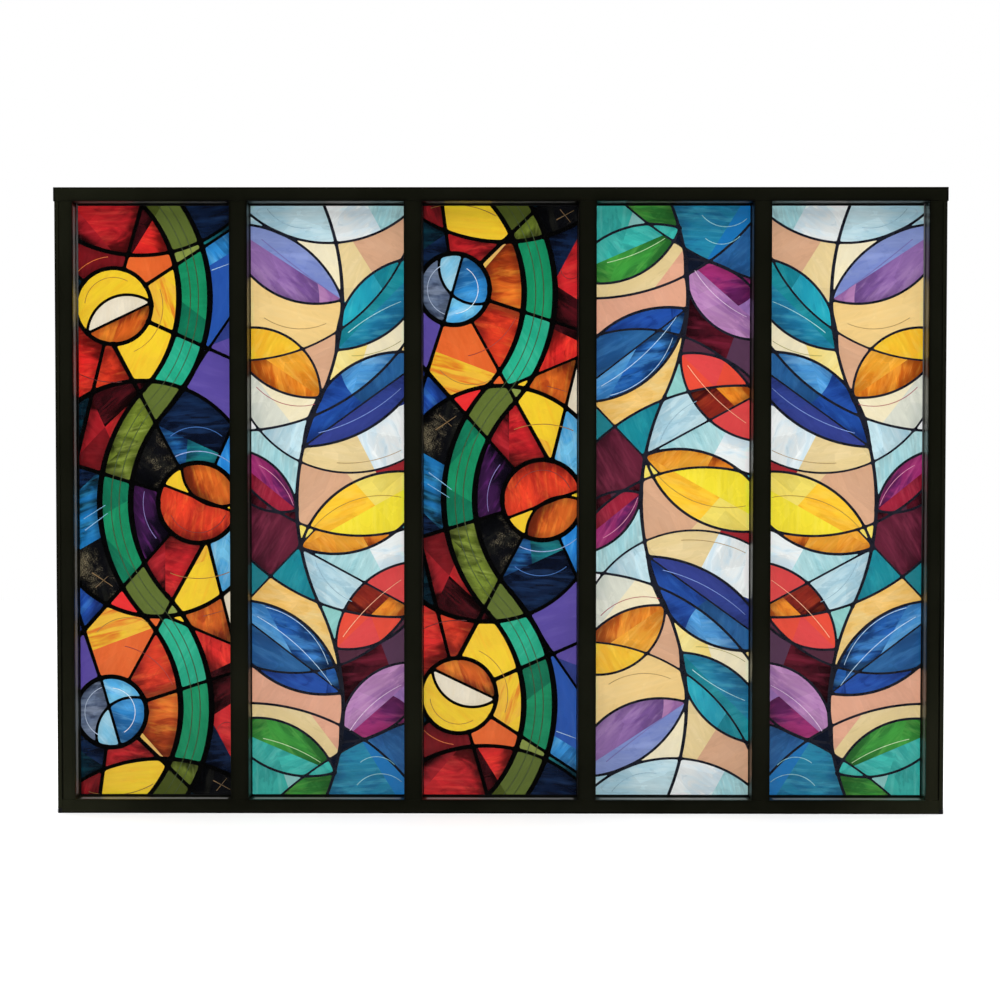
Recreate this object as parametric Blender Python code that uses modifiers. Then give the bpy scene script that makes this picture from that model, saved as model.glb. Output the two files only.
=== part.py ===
"""Interior glass partition: a slim black frame of hollow profiles with four
mullions and five tall panes of decorative glass, made to be built in between a
low wall, two jambs and a lintel.

The glass is put in from the back. Each profile has a wide box at the front,
whose inner wall is the deep reveal round the pane, and a narrow neck behind
it. The pane and its two gaskets lie in the pocket beside the neck, and glazing
beads fill the rest of the pocket.

Frame of reference: +X to the right seen from the front, -Y towards the front,
+Z up. The origin is the middle of the underside of the bottom rail.
Metres throughout.
"""

import math

import bmesh
import bpy
from mathutils import Matrix, Vector

MM = 0.001

# ---------------------------------------------------------------- dimensions

WIDTH = 1530.0 * MM  # over the two side channels
HEIGHT = 1078.0 * MM
DEPTH = 50.0 * MM

BAYS = 5
MULLION_FACE = 31.0 * MM
STILE_FACE = 30.5 * MM  # with the strip of the side channel
RAIL_FACE = 23.7 * MM
CHANNEL_FACE = 7.0 * MM  # the strip of the side channel seen from the front

REVEAL = 23.5 * MM  # depth of the front box, from the face to the pocket
POCKET = 7.0 * MM  # how far the pocket goes in beside the neck
WALL = 1.6 * MM  # wall of the hollow profiles
CHANNEL_WALL = 1.5 * MM
EDGE_RADIUS = 0.9 * MM  # rounded long edges of the front faces
SEAM = 0.9 * MM  # open joint between a stile's face and its side channel

GASKET = 3.0 * MM  # space that each gasket has, front to back
GASKET_LIP_SIDE = 1.3 * MM  # what shows of a gasket beside the pane
GASKET_LIP_END = 2.7 * MM  # and above and below it
GASKET_HELD = 4.0 * MM  # what the pocket hides of it
GASKET_CHAMFER = 0.5 * MM

GLASS = 6.4 * MM
GLASS_COVER = 5.0 * MM  # how far the pane goes into the pocket
GLASS_ARRIS = 0.4 * MM

BEAD_WALL = 1.4 * MM
CAP_THICKNESS = 1.2 * MM
FOOT_HEIGHT = 8.0 * MM
FOOT_CHAMFER = 0.5 * MM

GAP = 0.3 * MM  # between pieces that touch

# ------------------------------------------------------------ derived levels

HALF_W = WIDTH / 2
FRONT = -DEPTH / 2
BACK = DEPTH / 2
POCKET_FRONT = FRONT + REVEAL
GLASS_FRONT = POCKET_FRONT + GASKET
GLASS_BACK = GLASS_FRONT + GLASS
BEAD_FRONT = GLASS_BACK + GASKET

CLEAR_WIDTH = (WIDTH - 2 * STILE_FACE - (BAYS - 1) * MULLION_FACE) / BAYS
PITCH = CLEAR_WIDTH + MULLION_FACE
BAY_CENTRES = [(i - (BAYS - 1) / 2) * PITCH for i in range(BAYS)]
MULLION_CENTRES = [(i - BAYS / 2) * PITCH for i in range(1, BAYS)]
OPENING_LOW = RAIL_FACE
OPENING_HIGH = HEIGHT - RAIL_FACE
STILE_INNER = HALF_W - STILE_FACE
CHANNEL_INNER = HALF_W - CHANNEL_FACE

# ----------------------------------------------------------------- clean slate

for old in list(bpy.data.objects):
    bpy.data.objects.remove(old, do_unlink=True)

parts = bpy.data.collections.new("interior_glass_partition")
cutters = bpy.data.collections.new("cutters")
bpy.context.scene.collection.children.link(parts)
bpy.context.scene.collection.children.link(cutters)


# ------------------------------------------------------------------- materials


def material(name, colour, roughness, metallic=0.0):
    made = bpy.data.materials.new(name)
    made.use_nodes = True
    shader = made.node_tree.nodes["Principled BSDF"]
    shader.inputs["Base Color"].default_value = (*colour, 1.0)
    shader.inputs["Roughness"].default_value = roughness
    shader.inputs["Metallic"].default_value = metallic
    made.diffuse_color = (*colour, 1.0)
    return made


FRAME_BLACK = (0.0078, 0.0082, 0.0056)
BEAD_BLACK = (0.0086, 0.0088, 0.0070)
CAP_BLACK = (0.0060, 0.0058, 0.0064)
RUBBER_BLACK = (0.0030, 0.0030, 0.0032)
GLASS_TINTS = [
    (0.36, 0.07, 0.05),
    (0.30, 0.34, 0.42),
    (0.42, 0.12, 0.03),
    (0.55, 0.38, 0.20),
    (0.25, 0.30, 0.48),
]


def finish(ob, name, colour, roughness, metallic=0.0):
    ob.data.materials.clear()
    ob.data.materials.append(material(name, colour, roughness, metallic))


# ------------------------------------------------------------- shape functions


def rounded(points, radii, steps=3):
    """The outline with the corners named in radii replaced by arcs."""
    out = []
    for i, p in enumerate(points):
        r = radii.get(i, 0.0)
        if not r:
            out.append(p)
            continue
        here = Vector(p)
        a = (Vector(points[i - 1]) - here).normalized()
        b = (Vector(points[(i + 1) % len(points)]) - here).normalized()
        half = math.acos(max(-1.0, min(1.0, a.dot(b)))) / 2
        reach = r / math.tan(half)
        centre = here + (a + b).normalized() * (r / math.sin(half))
        start, end = here + a * reach - centre, here + b * reach - centre
        turn = start.angle_signed(end)
        for k in range(steps + 1):
            spoke = Matrix.Rotation(-turn * k / steps, 2) @ start
            out.append((centre + spoke)[:])
    return out


def mirrored(points, axis):
    """The outline reflected across one axis, in the same turning sense."""
    flip = [(-x, y) if axis == "X" else (x, -y) for x, y in points]
    return flip[::-1]


def shifted(points, dx=0.0, dy=0.0):
    return [(x + dx, y + dy) for x, y in points]


def extruded(name, outlines, length, location, along="Z"):
    """A closed solid: flat outlines (the first is the outside, the others are
    hollows) drawn as a filled curve and extruded, then welded."""
    curve = bpy.data.curves.new(name + "_outline", "CURVE")
    curve.dimensions = "2D"
    curve.fill_mode = "BOTH"
    curve.extrude = length / 2
    for outline in outlines:
        spline = curve.splines.new("POLY")
        spline.points.add(len(outline) - 1)
        for point, (x, y) in zip(spline.points, outline):
            point.co = (x, y, 0.0, 1.0)
        spline.use_cyclic_u = True
    drawn = bpy.data.objects.new(name + "_outline", curve)
    parts.objects.link(drawn)
    drawn.location = location
    if along == "X":  # outline x, y becomes Y, Z
        drawn.rotation_euler = (math.pi / 2, 0.0, math.pi / 2)
    elif along == "Y":  # outline x, y becomes X, Z
        drawn.rotation_euler = (math.pi / 2, 0.0, 0.0)
    bpy.context.view_layer.update()
    graph = bpy.context.evaluated_depsgraph_get()
    mesh = bpy.data.meshes.new_from_object(drawn.evaluated_get(graph))
    work = bmesh.new()
    work.from_mesh(mesh)
    bmesh.ops.remove_doubles(work, verts=work.verts, dist=0.00001)
    bmesh.ops.recalc_face_normals(work, faces=work.faces)
    work.to_mesh(mesh)
    work.free()
    mesh.name = name
    ob = bpy.data.objects.new(name, mesh)
    parts.objects.link(ob)
    ob.matrix_world = drawn.matrix_world.copy()
    bpy.data.objects.remove(drawn)
    bpy.data.curves.remove(curve)
    mesh.shade_smooth()
    mesh.set_sharp_from_angle(angle=math.radians(32))
    return ob


def block(name, low, high, collection):
    """A box between two corners, with its own scale applied."""
    bpy.ops.mesh.primitive_cube_add(size=1.0)
    ob = bpy.context.active_object
    ob.name = ob.data.name = name
    size = Vector(high) - Vector(low)
    ob.data.transform(Matrix.Diagonal((*size, 1.0)))
    ob.location = (Vector(high) + Vector(low)) / 2
    for holder in list(ob.users_collection):
        holder.objects.unlink(ob)
    collection.objects.link(ob)
    return ob


def edge_bevel(ob, width, segments=1):
    bevel = ob.modifiers.new("edges", "BEVEL")
    bevel.width = width
    bevel.segments = segments
    bevel.limit_method = "ANGLE"
    bevel.angle_limit = math.radians(40)


def cut(ob, cutter):
    notch = ob.modifiers.new("notch_" + cutter.name, "BOOLEAN")
    notch.operation = "DIFFERENCE"
    notch.object = cutter


# --------------------------------------------------------------- the cross-sections


def mullion_outlines():
    """Front box as wide as the face, and a neck with a pocket on each side."""
    face, neck = MULLION_FACE / 2, MULLION_FACE / 2 - POCKET
    outside = [
        (-face, FRONT),
        (face, FRONT),
        (face, POCKET_FRONT),
        (neck, POCKET_FRONT),
        (neck, BACK),
        (-neck, BACK),
        (-neck, POCKET_FRONT),
        (-face, POCKET_FRONT),
    ]
    w = WALL
    hollow = [
        (-face + w, FRONT + w),
        (face - w, FRONT + w),
        (face - w, POCKET_FRONT - w),
        (neck - w, POCKET_FRONT - w),
        (neck - w, BACK - w),
        (-neck + w, BACK - w),
        (-neck + w, POCKET_FRONT - w),
        (-face + w, POCKET_FRONT - w),
    ]
    edges = {0: EDGE_RADIUS, 1: EDGE_RADIUS, 4: 0.5 * MM, 5: 0.5 * MM}
    return [rounded(outside, edges), hollow]


def stile_outlines():
    """The right stile: front box, neck, and the tongue inside its channel."""
    inner, neck = STILE_INNER, STILE_INNER + POCKET
    outer = CHANNEL_INNER - SEAM
    tip = HALF_W - CHANNEL_WALL - GAP
    side = CHANNEL_WALL + GAP  # the tongue lies inside the channel's flanges
    outside = [
        (inner, FRONT),
        (outer, FRONT),
        (outer, FRONT + side),
        (tip, FRONT + side),
        (tip, BACK - side),
        (outer, BACK - side),
        (outer, BACK),
        (neck, BACK),
        (neck, POCKET_FRONT),
        (inner, POCKET_FRONT),
    ]
    w = WALL
    hollow = [
        (inner + w, FRONT + w),
        (outer - w, FRONT + w),
        (outer - w, FRONT + side + w),
        (tip - w, FRONT + side + w),
        (tip - w, BACK - side - w),
        (outer - w, BACK - side - w),
        (outer - w, BACK - w),
        (neck + w, BACK - w),
        (neck + w, POCKET_FRONT - w),
        (inner + w, POCKET_FRONT - w),
    ]
    edges = {0: EDGE_RADIUS, 1: 0.4 * MM, 6: 0.4 * MM, 7: 0.5 * MM}
    return [rounded(outside, edges), hollow]


def rail_outlines():
    """The bottom rail, drawn in Y and Z: front box and neck."""
    neck = RAIL_FACE - POCKET
    outside = [
        (FRONT, 0.0),
        (BACK, 0.0),
        (BACK, neck),
        (POCKET_FRONT, neck),
        (POCKET_FRONT, RAIL_FACE),
        (FRONT, RAIL_FACE),
    ]
    edges = {0: EDGE_RADIUS, 1: 0.5 * MM, 2: 0.5 * MM, 5: EDGE_RADIUS}
    w = WALL
    hollow = [
        (FRONT + w, w),
        (BACK - w, w),
        (BACK - w, neck - w),
        (POCKET_FRONT - w, neck - w),
        (POCKET_FRONT - w, RAIL_FACE - w),
        (FRONT + w, RAIL_FACE - w),
    ]
    return [rounded(outside, edges), hollow]


def channel_outline():
    """The right side channel: a web against the jamb and two flanges that
    reach in round the stile's tongue."""
    w = CHANNEL_WALL
    outside = [
        (CHANNEL_INNER, FRONT),
        (HALF_W, FRONT),
        (HALF_W, BACK),
        (CHANNEL_INNER, BACK),
        (CHANNEL_INNER, BACK - w),
        (HALF_W - w, BACK - w),
        (HALF_W - w, FRONT + w),
        (CHANNEL_INNER, FRONT + w),
    ]
    return rounded(outside, {1: EDGE_RADIUS, 2: 0.5 * MM})


def bead_outline():
    """A glazing bead on the left of a neck at x = 0, open towards the neck:
    its web faces the pane's side, and one flange presses the gasket."""
    w, far = BEAD_WALL, -POCKET
    outside = [
        (-GAP, BEAD_FRONT),
        (-GAP, BEAD_FRONT + w),
        (far + w, BEAD_FRONT + w),
        (far + w, BACK - w),
        (-GAP, BACK - w),
        (-GAP, BACK),
        (far, BACK),
        (far, BEAD_FRONT),
    ]
    return rounded(outside, {6: 1.2 * MM})


def loop_outlines(lip_side, lip_end, held):
    """A rectangular ring in X and Z about the middle of one bay."""
    half_w, half_h = CLEAR_WIDTH / 2, (OPENING_HIGH - OPENING_LOW) / 2

    def box(x, z):
        return [(-x, -z), (x, -z), (x, z), (-x, z)]

    return [
        box(half_w + held, half_h + held),
        box(half_w - lip_side, half_h - lip_end),
    ]


# ----------------------------------------------------------------- the notches

# The rails' front boxes run through, so the front boxes of the uprights stop
# against them while their necks go on to the rails' necks.
reach = HALF_W + 10 * MM
low_notch = block(
    "front_box_notch_low",
    (-reach, FRONT - 5 * MM, -5 * MM),
    (reach, POCKET_FRONT + GAP, OPENING_LOW + GAP),
    cutters,
)
high_notch = block(
    "front_box_notch_high",
    (-reach, FRONT - 5 * MM, OPENING_HIGH - GAP),
    (reach, POCKET_FRONT + GAP, HEIGHT + 5 * MM),
    cutters,
)
for cutter in (low_notch, high_notch):
    cutter.hide_render = True
    cutter.display_type = "WIRE"

NECK_LOW = RAIL_FACE - POCKET + GAP
NECK_HIGH = HEIGHT - NECK_LOW
MID_Z = HEIGHT / 2

# --------------------------------------------------------------------- the rails

bottom_rail = extruded(
    "bottom_rail",
    rail_outlines(),
    2 * (CHANNEL_INNER - GAP),
    (0.0, 0.0, 0.0),
    along="X",
)
top_rail = extruded(
    "top_rail",
    [mirrored(o, "Y") for o in rail_outlines()],
    WIDTH,
    (0.0, 0.0, HEIGHT),
    along="X",
)
for rail, tone in ((bottom_rail, 1.08), (top_rail, 1.0)):
    colour = tuple(c * tone for c in FRAME_BLACK)
    finish(rail, rail.name + "_powder_coat", colour, 0.36)

# ------------------------------------------------------------------- the uprights

for i, x in enumerate(MULLION_CENTRES, 1):
    mullion = extruded(
        f"mullion_{i}",
        mullion_outlines(),
        NECK_HIGH - NECK_LOW,
        (x, 0.0, MID_Z),
    )
    cut(mullion, low_notch)
    cut(mullion, high_notch)
    finish(mullion, f"mullion_{i}_powder_coat", FRAME_BLACK, 0.36)

for side in ("left", "right"):
    outlines, channel = stile_outlines(), channel_outline()
    if side == "left":
        outlines = [mirrored(o, "X") for o in outlines]
        channel = mirrored(channel, "X")
    stile = extruded(
        side + "_stile", outlines, NECK_HIGH - NECK_LOW, (0.0, 0.0, MID_Z)
    )
    cut(stile, low_notch)
    cut(stile, high_notch)
    finish(stile, side + "_stile_powder_coat", FRAME_BLACK, 0.36)

    low = FOOT_HEIGHT + GAP
    strip = extruded(
        side + "_side_channel",
        [channel],
        NECK_HIGH - low,
        (0.0, 0.0, (NECK_HIGH + low) / 2),
    )
    cut(strip, high_notch)
    finish(strip, side + "_channel_powder_coat", FRAME_BLACK, 0.40)

    sign = -1.0 if side == "left" else 1.0
    ends = sorted((sign * CHANNEL_INNER, sign * HALF_W))
    foot = block(
        side + "_foot_cap",
        (ends[0], FRONT, 0.0),
        (ends[1], BACK, FOOT_HEIGHT),
        parts,
    )
    edge_bevel(foot, FOOT_CHAMFER)
    finish(foot, side + "_foot_cap_plastic", CAP_BLACK, 0.5)

    plate = extruded(
        side + "_rail_end_cap",
        [mirrored(rail_outlines()[0], "Y")],
        CAP_THICKNESS,
        (sign * (HALF_W + GAP + CAP_THICKNESS / 2), 0.0, HEIGHT),
        along="X",
    )
    finish(plate, side + "_end_cap_plastic", CAP_BLACK, 0.5)

# --------------------------------------------------------------------- the bays

CLEAR_HEIGHT = OPENING_HIGH - OPENING_LOW
for bay, x in enumerate(BAY_CENTRES, 1):
    # the pane
    half = CLEAR_WIDTH / 2 + GLASS_COVER
    pane = block(
        f"glass_pane_{bay}",
        (x - half, GLASS_FRONT, OPENING_LOW - GLASS_COVER),
        (x + half, GLASS_BACK, OPENING_HIGH + GLASS_COVER),
        parts,
    )
    edge_bevel(pane, GLASS_ARRIS)
    finish(pane, f"glass_{bay}", GLASS_TINTS[bay - 1], 0.06)

    # the two gaskets
    for where, face in (
        ("front", POCKET_FRONT + GASKET / 2),
        ("back", GLASS_BACK + GASKET / 2),
    ):
        ring = extruded(
            f"{where}_gasket_{bay}",
            loop_outlines(GASKET_LIP_SIDE, GASKET_LIP_END, GASKET_HELD),
            GASKET - 2 * GAP,
            (x, face, MID_Z),
            along="Y",
        )
        edge_bevel(ring, GASKET_CHAMFER)
        finish(ring, f"{where}_rubber_{bay}", RUBBER_BLACK, 0.62)

    # the beads: the level ones run between the necks, the upright ones stand
    # between them
    level = CLEAR_WIDTH + 2 * POCKET - 2 * GAP
    upright = CLEAR_HEIGHT - 2 * GAP
    neck_x, neck_z = CLEAR_WIDTH / 2 + POCKET, RAIL_FACE - POCKET
    outline = bead_outline()
    # drawn in X and Y beside an upright, and in Y and Z on a rail
    flat = [(y, x_) for x_, y in outline]
    for side, shape, length, place, along in (
        ("right", outline, upright, (x + neck_x, 0.0, MID_Z), "Z"),
        ("left", mirrored(outline, "X"), upright, (x - neck_x, 0.0, MID_Z), "Z"),
        ("top", flat[::-1], level, (x, 0.0, HEIGHT - neck_z), "X"),
        ("bottom", mirrored(flat[::-1], "Y"), level, (x, 0.0, neck_z), "X"),
    ):
        bead = extruded(f"bead_{bay}_{side}", [shape], length, place, along)
        finish(bead, f"bead_{bay}_{side}_powder_coat", BEAD_BLACK, 0.38)
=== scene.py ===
"""Looks of the interior glass partition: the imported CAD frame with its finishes,
and the coloured picture printed on the glass in a leaded-light manner.

The picture is a pattern of its own, drawn below as arcs and lines in
millimetres. Two sheets are drawn and used turned over in the five bays, as a
maker would with two printed films.
"""

import math

import bpy
import numpy as np
from mathutils import Matrix, Vector
from mathutils.geometry import delaunay_2d_cdt


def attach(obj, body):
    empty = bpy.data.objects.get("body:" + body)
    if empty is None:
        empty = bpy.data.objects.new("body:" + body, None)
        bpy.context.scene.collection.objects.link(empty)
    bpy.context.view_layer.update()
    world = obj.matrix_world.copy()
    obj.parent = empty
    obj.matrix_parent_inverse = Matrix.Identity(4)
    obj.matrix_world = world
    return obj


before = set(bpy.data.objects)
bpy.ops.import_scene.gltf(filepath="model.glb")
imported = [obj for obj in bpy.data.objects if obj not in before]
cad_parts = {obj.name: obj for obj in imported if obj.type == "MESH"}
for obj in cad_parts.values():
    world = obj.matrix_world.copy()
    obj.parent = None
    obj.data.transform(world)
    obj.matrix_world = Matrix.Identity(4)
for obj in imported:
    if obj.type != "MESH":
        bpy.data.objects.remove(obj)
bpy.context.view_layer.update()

MM = 0.001

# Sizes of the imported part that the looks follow, in metres
HEIGHT = 1.078
FRONT = -0.025
BACK = 0.025
OPENING_LOW = 0.0237
OPENING_HIGH = HEIGHT - OPENING_LOW
CLEAR_WIDTH = 0.269
CLEAR_HEIGHT = OPENING_HIGH - OPENING_LOW
BAY_CENTRES = [-0.6, -0.3, 0.0, 0.3, 0.6]
MULLION_CENTRES = [-0.45, -0.15, 0.15, 0.45]
STILE_INNER = 0.7345
GLASS_FRONT = 0.0015
GLASS_BACK = 0.0079

# The printed film on each face of a pane
FILM_GAP = 0.15 * MM  # in front of the glass
INK_RISE = 0.10 * MM  # the drawn lines stand this proud of the film
FILM_SIDE = 2.5  # mm that the film goes on beside the clear opening
FILM_END = 2.9  # and above and below it


# ------------------------------------------------------------- the designs
#
# Distances are in mm: x from the left and t from the top of the clear opening.
# A curve is an arc through three points or a straight line, with its width at
# the start, the end and, for an arc, the middle. Tones are edges without a
# line, and each seed names the paint of the shard that it lies in.


# Paints: the main, second and accent colour, then how much of each: darker rim,
# second colour, accent, streaks, facets, gilt specks, and shade at one end
PAINTS = {
    # design one
    "night": ("05222f", "040c1c", "0e4c5c", .35, .9, .45, .8, .1, 0, .3),
    "night_teal": ("083846", "041a26", "136a70", .4, .85, .4, .9, .1, 0, .4),
    "oxblood": ("7d1119", "520910", "96202a", .35, .5, .25, .25, .05, 0, .2),
    "yellow": ("f6cf27", "efc02e", "f3a41f", .04, .5, .3, .15, .03, 0, 0),
    "yellow_orange": ("f5cb28", "efb23c", "e2561a", .06, .7, .8, .2, .03, 0, 0),
    "peach_amber": ("e6b95a", "d9a36c", "f4cc46", .06, .7, .4, .15, .05, 0, 0),
    "violet": ("5c4ba3", "54459a", "7464b4", .06, .4, .2, .1, .04, 0, 0),
    "cobalt": ("2558b4", "1c4ca4", "3a74c8", .10, .4, .2, .1, .05, 0, 0),
    "indigo": ("2c3c88", "233478", "3c50a0", .12, .4, .2, .1, .05, 0, 0),
    "sky": ("0c79b7", "0a6ba8", "2a90c8", .10, .4, .2, .12, .06, 0, 0),
    "crimson": ("d01f26", "870e17", "ee4238", .5, .9, .45, .3, .12, 0, .75),
    "crimson_deep": ("a01620", "540a12", "cc2e36", .6, .9, .4, .3, .14, 0, .85),
    "rose": ("a81c38", "5c0c1e", "d4405c", .5, .9, .5, .25, .14, 0, .8),
    "kite": ("c81c24", "9a121a", "e83a36", .3, .8, .4, .3, .12, 0, .3),
    "maroon": ("420a13", "1c0508", "7a1622", .5, .9, .4, .25, .1, 0, .6),
    "emerald": ("0d8f5f", "0a7a52", "1ea873", .12, .5, .25, .15, .06, 0, 0),
    "green_deep": ("077553", "065f46", "0f8c64", .15, .5, .25, .15, .08, 0, 0),
    "mint": ("23b18b", "17a07c", "45c4a0", .08, .6, .35, .15, .06, 0, 0),
    "royal": ("1e51b0", "112f7e", "3f84d4", .3, .8, .45, .2, .1, 0, .4),
    "olive_mottle": ("74862b", "3e4a13", "a0b050", .5, .9, .5, .35, .1, 0, .5),
    "olive": ("61712f", "5b6b2c", "6a7a3a", .08, .35, .15, .1, .04, 0, 0),
    "olive_dark": ("4b561c", "435018", "56642a", .10, .35, .15, .1, .04, 0, 0),
    "blue_rays": ("1674b6", "052c38", "38a4dc", .6, .95, .5, .25, .12, 0, .9),
    "blue_clear": ("2a8bd2", "145896", "66b6e4", .28, .8, .5, .25, .12, 0, .4),
    "aqua_tip": ("129aa4", "0c7f8c", "38b4b8", .15, .5, .3, .2, .06, 0, 0),
    "orange_mottle": ("dd651b", "a8380e", "f69a2c", .4, .95, .55, .3, .12, 0, .6),
    "cream": ("eadfc7", "e2d3b4", "f3ecdc", .05, .5, .3, .1, .05, 0, 0),
    "cream_shade": ("dccfae", "cfbf98", "e8dcc2", .05, .5, .3, .1, .05, 0, 0),
    "tan": ("c3ab80", "b89e70", "d0bb94", .05, .4, .2, .1, .05, 0, 0),
    "orange": ("e8672a", "e05c20", "f07c3c", .06, .4, .2, .1, .04, 0, 0),
    "orange_dark": ("d9561e", "cf4c18", "e4662c", .06, .4, .2, .1, .04, 0, 0),
    "vermilion": ("e13b1d", "ab2013", "fb7430", .28, .85, .5, .3, .12, 0, .5),
    "red": ("dd2420", "94120f", "fa4a2e", .32, .9, .5, .35, .14, 0, .65),
    "scarlet": ("ed2b2c", "e42426", "f23c38", .05, .3, .2, .1, .03, 0, 0),
    "light_blue": ("70c1e8", "3f9fd9", "b6e3f6", .2, .85, .45, .25, .14, 0, 0),
    "pale_blue": ("9bd4ec", "74c0e2", "c8eaf6", .15, .8, .5, .25, .1, 0, 0),
    "soot": ("0c0d12", "05060a", "26261f", .2, .8, .5, .3, .05, 1, .3),
    "midnight": ("0a1c3a", "050b1e", "193a68", .35, .85, .5, .9, .08, 0, .3),
    "navy_streaks": ("144e8c", "081f44", "2d80c0", .5, .95, .55, 1, .12, 0, .5),
    "navy_teal": ("12707c", "0a4458", "22a0a0", .35, .85, .5, .7, .1, 0, .5),
    "slate": ("64748f", "38445f", "93a0b6", .28, .9, .5, .9, .14, 0, .3),
    "olive_tip": ("8b9a48", "77863c", "9cab5c", .10, .4, .2, .2, .05, 0, 0),
    "bright_blue": ("1c84d8", "1462b2", "46aaea", .12, .75, .45, .3, .1, 0, .25),
    "plum_night": ("3a1546", "150a22", "7a2c88", .45, .95, .5, .4, .14, 0, .6),
    # design two
    "peach": ("d8a886", "d0a07c", "e0b494", .04, .4, .2, .08, .05, 0, 0),
    "cream_gold": ("e3cb94", "dcc488", "ecd8a8", .04, .5, .3, .08, .06, 0, 0),
    "ivory": ("f0e5c2", "ecdfb6", "f6efd8", .03, .4, .2, .08, .04, 0, 0),
    "cherry": ("9c222a", "8e1e26", "a83036", .06, .3, .2, .08, .05, 0, 0),
    "pink": ("cc3c64", "c23058", "d85478", .06, .4, .2, .08, .05, 0, 0),
    "turquoise": ("20a8bb", "168ba5", "56c6d0", .08, .75, .35, .2, .1, 0, 0),
    "teal": ("128a98", "0d7488", "34a6b0", .1, .6, .35, .2, .08, 0, .1),
    "royal_two": ("1d4ca3", "12337e", "2f6ac0", .15, .8, .35, .2, .12, 0, .2),
    "indigo_two": ("2b3b84", "1f2c68", "3b52a0", .12, .65, .3, .2, .12, 0, .2),
    "steel_blue": ("24609a", "1a4a82", "3c7cb4", .12, .7, .4, .2, .12, 0, .2),
    "teal_strokes": ("1c7fa0", "15608c", "44a4bc", .15, .8, .5, .6, .08, 0, .2),
    "steel_teal": ("4b99a9", "428e9e", "5ca6b4", .05, .4, .2, .1, .05, 0, 0),
    "pine": ("0a6460", "0c5a58", "14746e", .15, .5, .3, .12, .08, 0, 0),
    "grey_green": ("3c6468", "34585c", "4c7478", .15, .5, .3, .12, .08, 0, 0),
    "pale_grey": ("d8dacb", "c4cbc1", "efeee4", .06, .75, .3, .15, .06, 0, 0),
    "khaki": ("a8935c", "8f7c44", "beaa76", .08, .7, .4, .15, .05, 0, .2),
    "apricot": ("edcb86", "e8c27a", "f3d79c", .04, .4, .2, .08, .05, 0, 0),
    "plum": ("532b3d", "4e2838", "5a3042", .05, .3, .15, .06, .04, 0, 0),
    "crimson_two": ("9b1d36", "741226", "bc3850", .18, .8, .5, .2, .1, 0, .4),
    "pale_aqua": ("a9d5d9", "90c5cd", "cfeaea", .06, .75, .4, .5, .08, 0, 0),
    "magenta": ("9b2a6c", "611d5a", "c8508c", .3, .95, .5, .35, .12, 0, .5),
    "magenta_violet": ("6c2a7c", "47205e", "9850a0", .25, .9, .5, .3, .12, 0, .4),
    "white": ("e8edec", "c6dde8", "fbfcfa", .05, .85, .3, .15, .08, 0, 0),
    "ice": ("b8d6de", "9ac2d2", "e2f0f2", .06, .85, .35, .15, .1, 0, 0),
    "sand": ("e7c993", "dfbb84", "f1dbb0", .04, .6, .25, .12, .06, 0, 0),
    "gold": ("fbc82e", "f2ae24", "fcda62", .05, .75, .35, .2, .05, 0, 0),
    "lilac": ("8e68a6", "6e4a8a", "b48fc0", .18, .9, .38, .15, .12, 0, .2),
    "lilac_pink": ("b07cb0", "9664a2", "d2a6cc", .1, .85, .32, .15, .12, 0, .1),
    "periwinkle": ("8191c9", "6f80c2", "a2b0dc", .05, .7, .25, .1, .06, 0, 0),
    "deep_indigo": ("33408e", "2b367e", "40509e", .12, .4, .2, .1, .05, 0, 0),
    "blue_two": ("1c5eb0", "10376e", "4390d2", .35, .9, .55, .25, .12, 0, .6),
    "lemon": ("f1dd2f", "ecd62c", "f4e258", .05, .5, .3, .1, .06, 0, 0),
    "straw": ("ecd763", "e8d058", "f2e284", .04, .5, .3, .08, .06, 0, 0),
    "teal_flat": ("1c7c88", "187480", "248690", .05, .3, .2, .08, .04, 0, 0),
    "amber": ("eca12a", "d97d16", "f7bd52", .14, .85, .45, .25, .1, 0, .2),
    "orange_two": ("ec8b1e", "c2560f", "f8ac3c", .25, .95, .55, .3, .12, 0, .5),
    "rust": ("8f2618", "4f0e10", "bc4420", .3, .9, .5, .3, .12, 0, .5),
    "sky_two": ("4d9bd9", "2f78bc", "86bfe8", .18, .85, .5, .35, .1, 0, .2),
    "wine": ("5b1022", "300814", "84203a", .35, .9, .45, .25, .1, 0, .5),
    "salmon": ("e0a588", "dc9e80", "e8b298", .04, .3, .2, .08, .05, 0, 0),
    "coral": ("dd4545", "d83e40", "e45450", .05, .3, .2, .08, .05, 0, 0),
    "butter": ("eedc8d", "ebce6c", "f6eab4", .04, .7, .25, .1, .06, 0, 0),
    "wheat": ("ecc87c", "e8b455", "f5dda4", .05, .8, .3, .12, .08, 0, 0),
    "ink_navy": ("10182a", "0c1220", "182440", .10, .4, .2, .1, .04, 0, 0),
    "leaf": ("3d9b3b", "28702f", "6cb850", .2, .85, .5, .25, .1, 0, .3),
    "jade": ("36b3a8", "259690", "6ccec4", .1, .75, .35, .2, .12, 0, 0),
    "pale_jade": ("8dcac5", "80c0bc", "a8d8d2", .06, .5, .3, .12, .08, 0, 0),
    "tomato": ("e84b35", "e4442f", "ee5c44", .04, .25, .15, .06, .04, 0, 0),
    "aubergine": ("573751", "52344c", "5e3e58", .04, .25, .15, .06, .04, 0, 0),
    "blue_flat": ("1474b8", "106cb0", "1e7ec0", .04, .25, .15, .06, .04, 0, 0),
    "mulberry": ("641f35", "451425", "86304a", .2, .8, .5, .25, .08, 0, .3),
}


def polar(x, t, radius, degrees):
    """A point by its distance and direction; 0 is right and 90 is down."""
    turn = math.radians(degrees)
    return (x + radius * math.cos(turn), t + radius * math.sin(turn))


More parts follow.
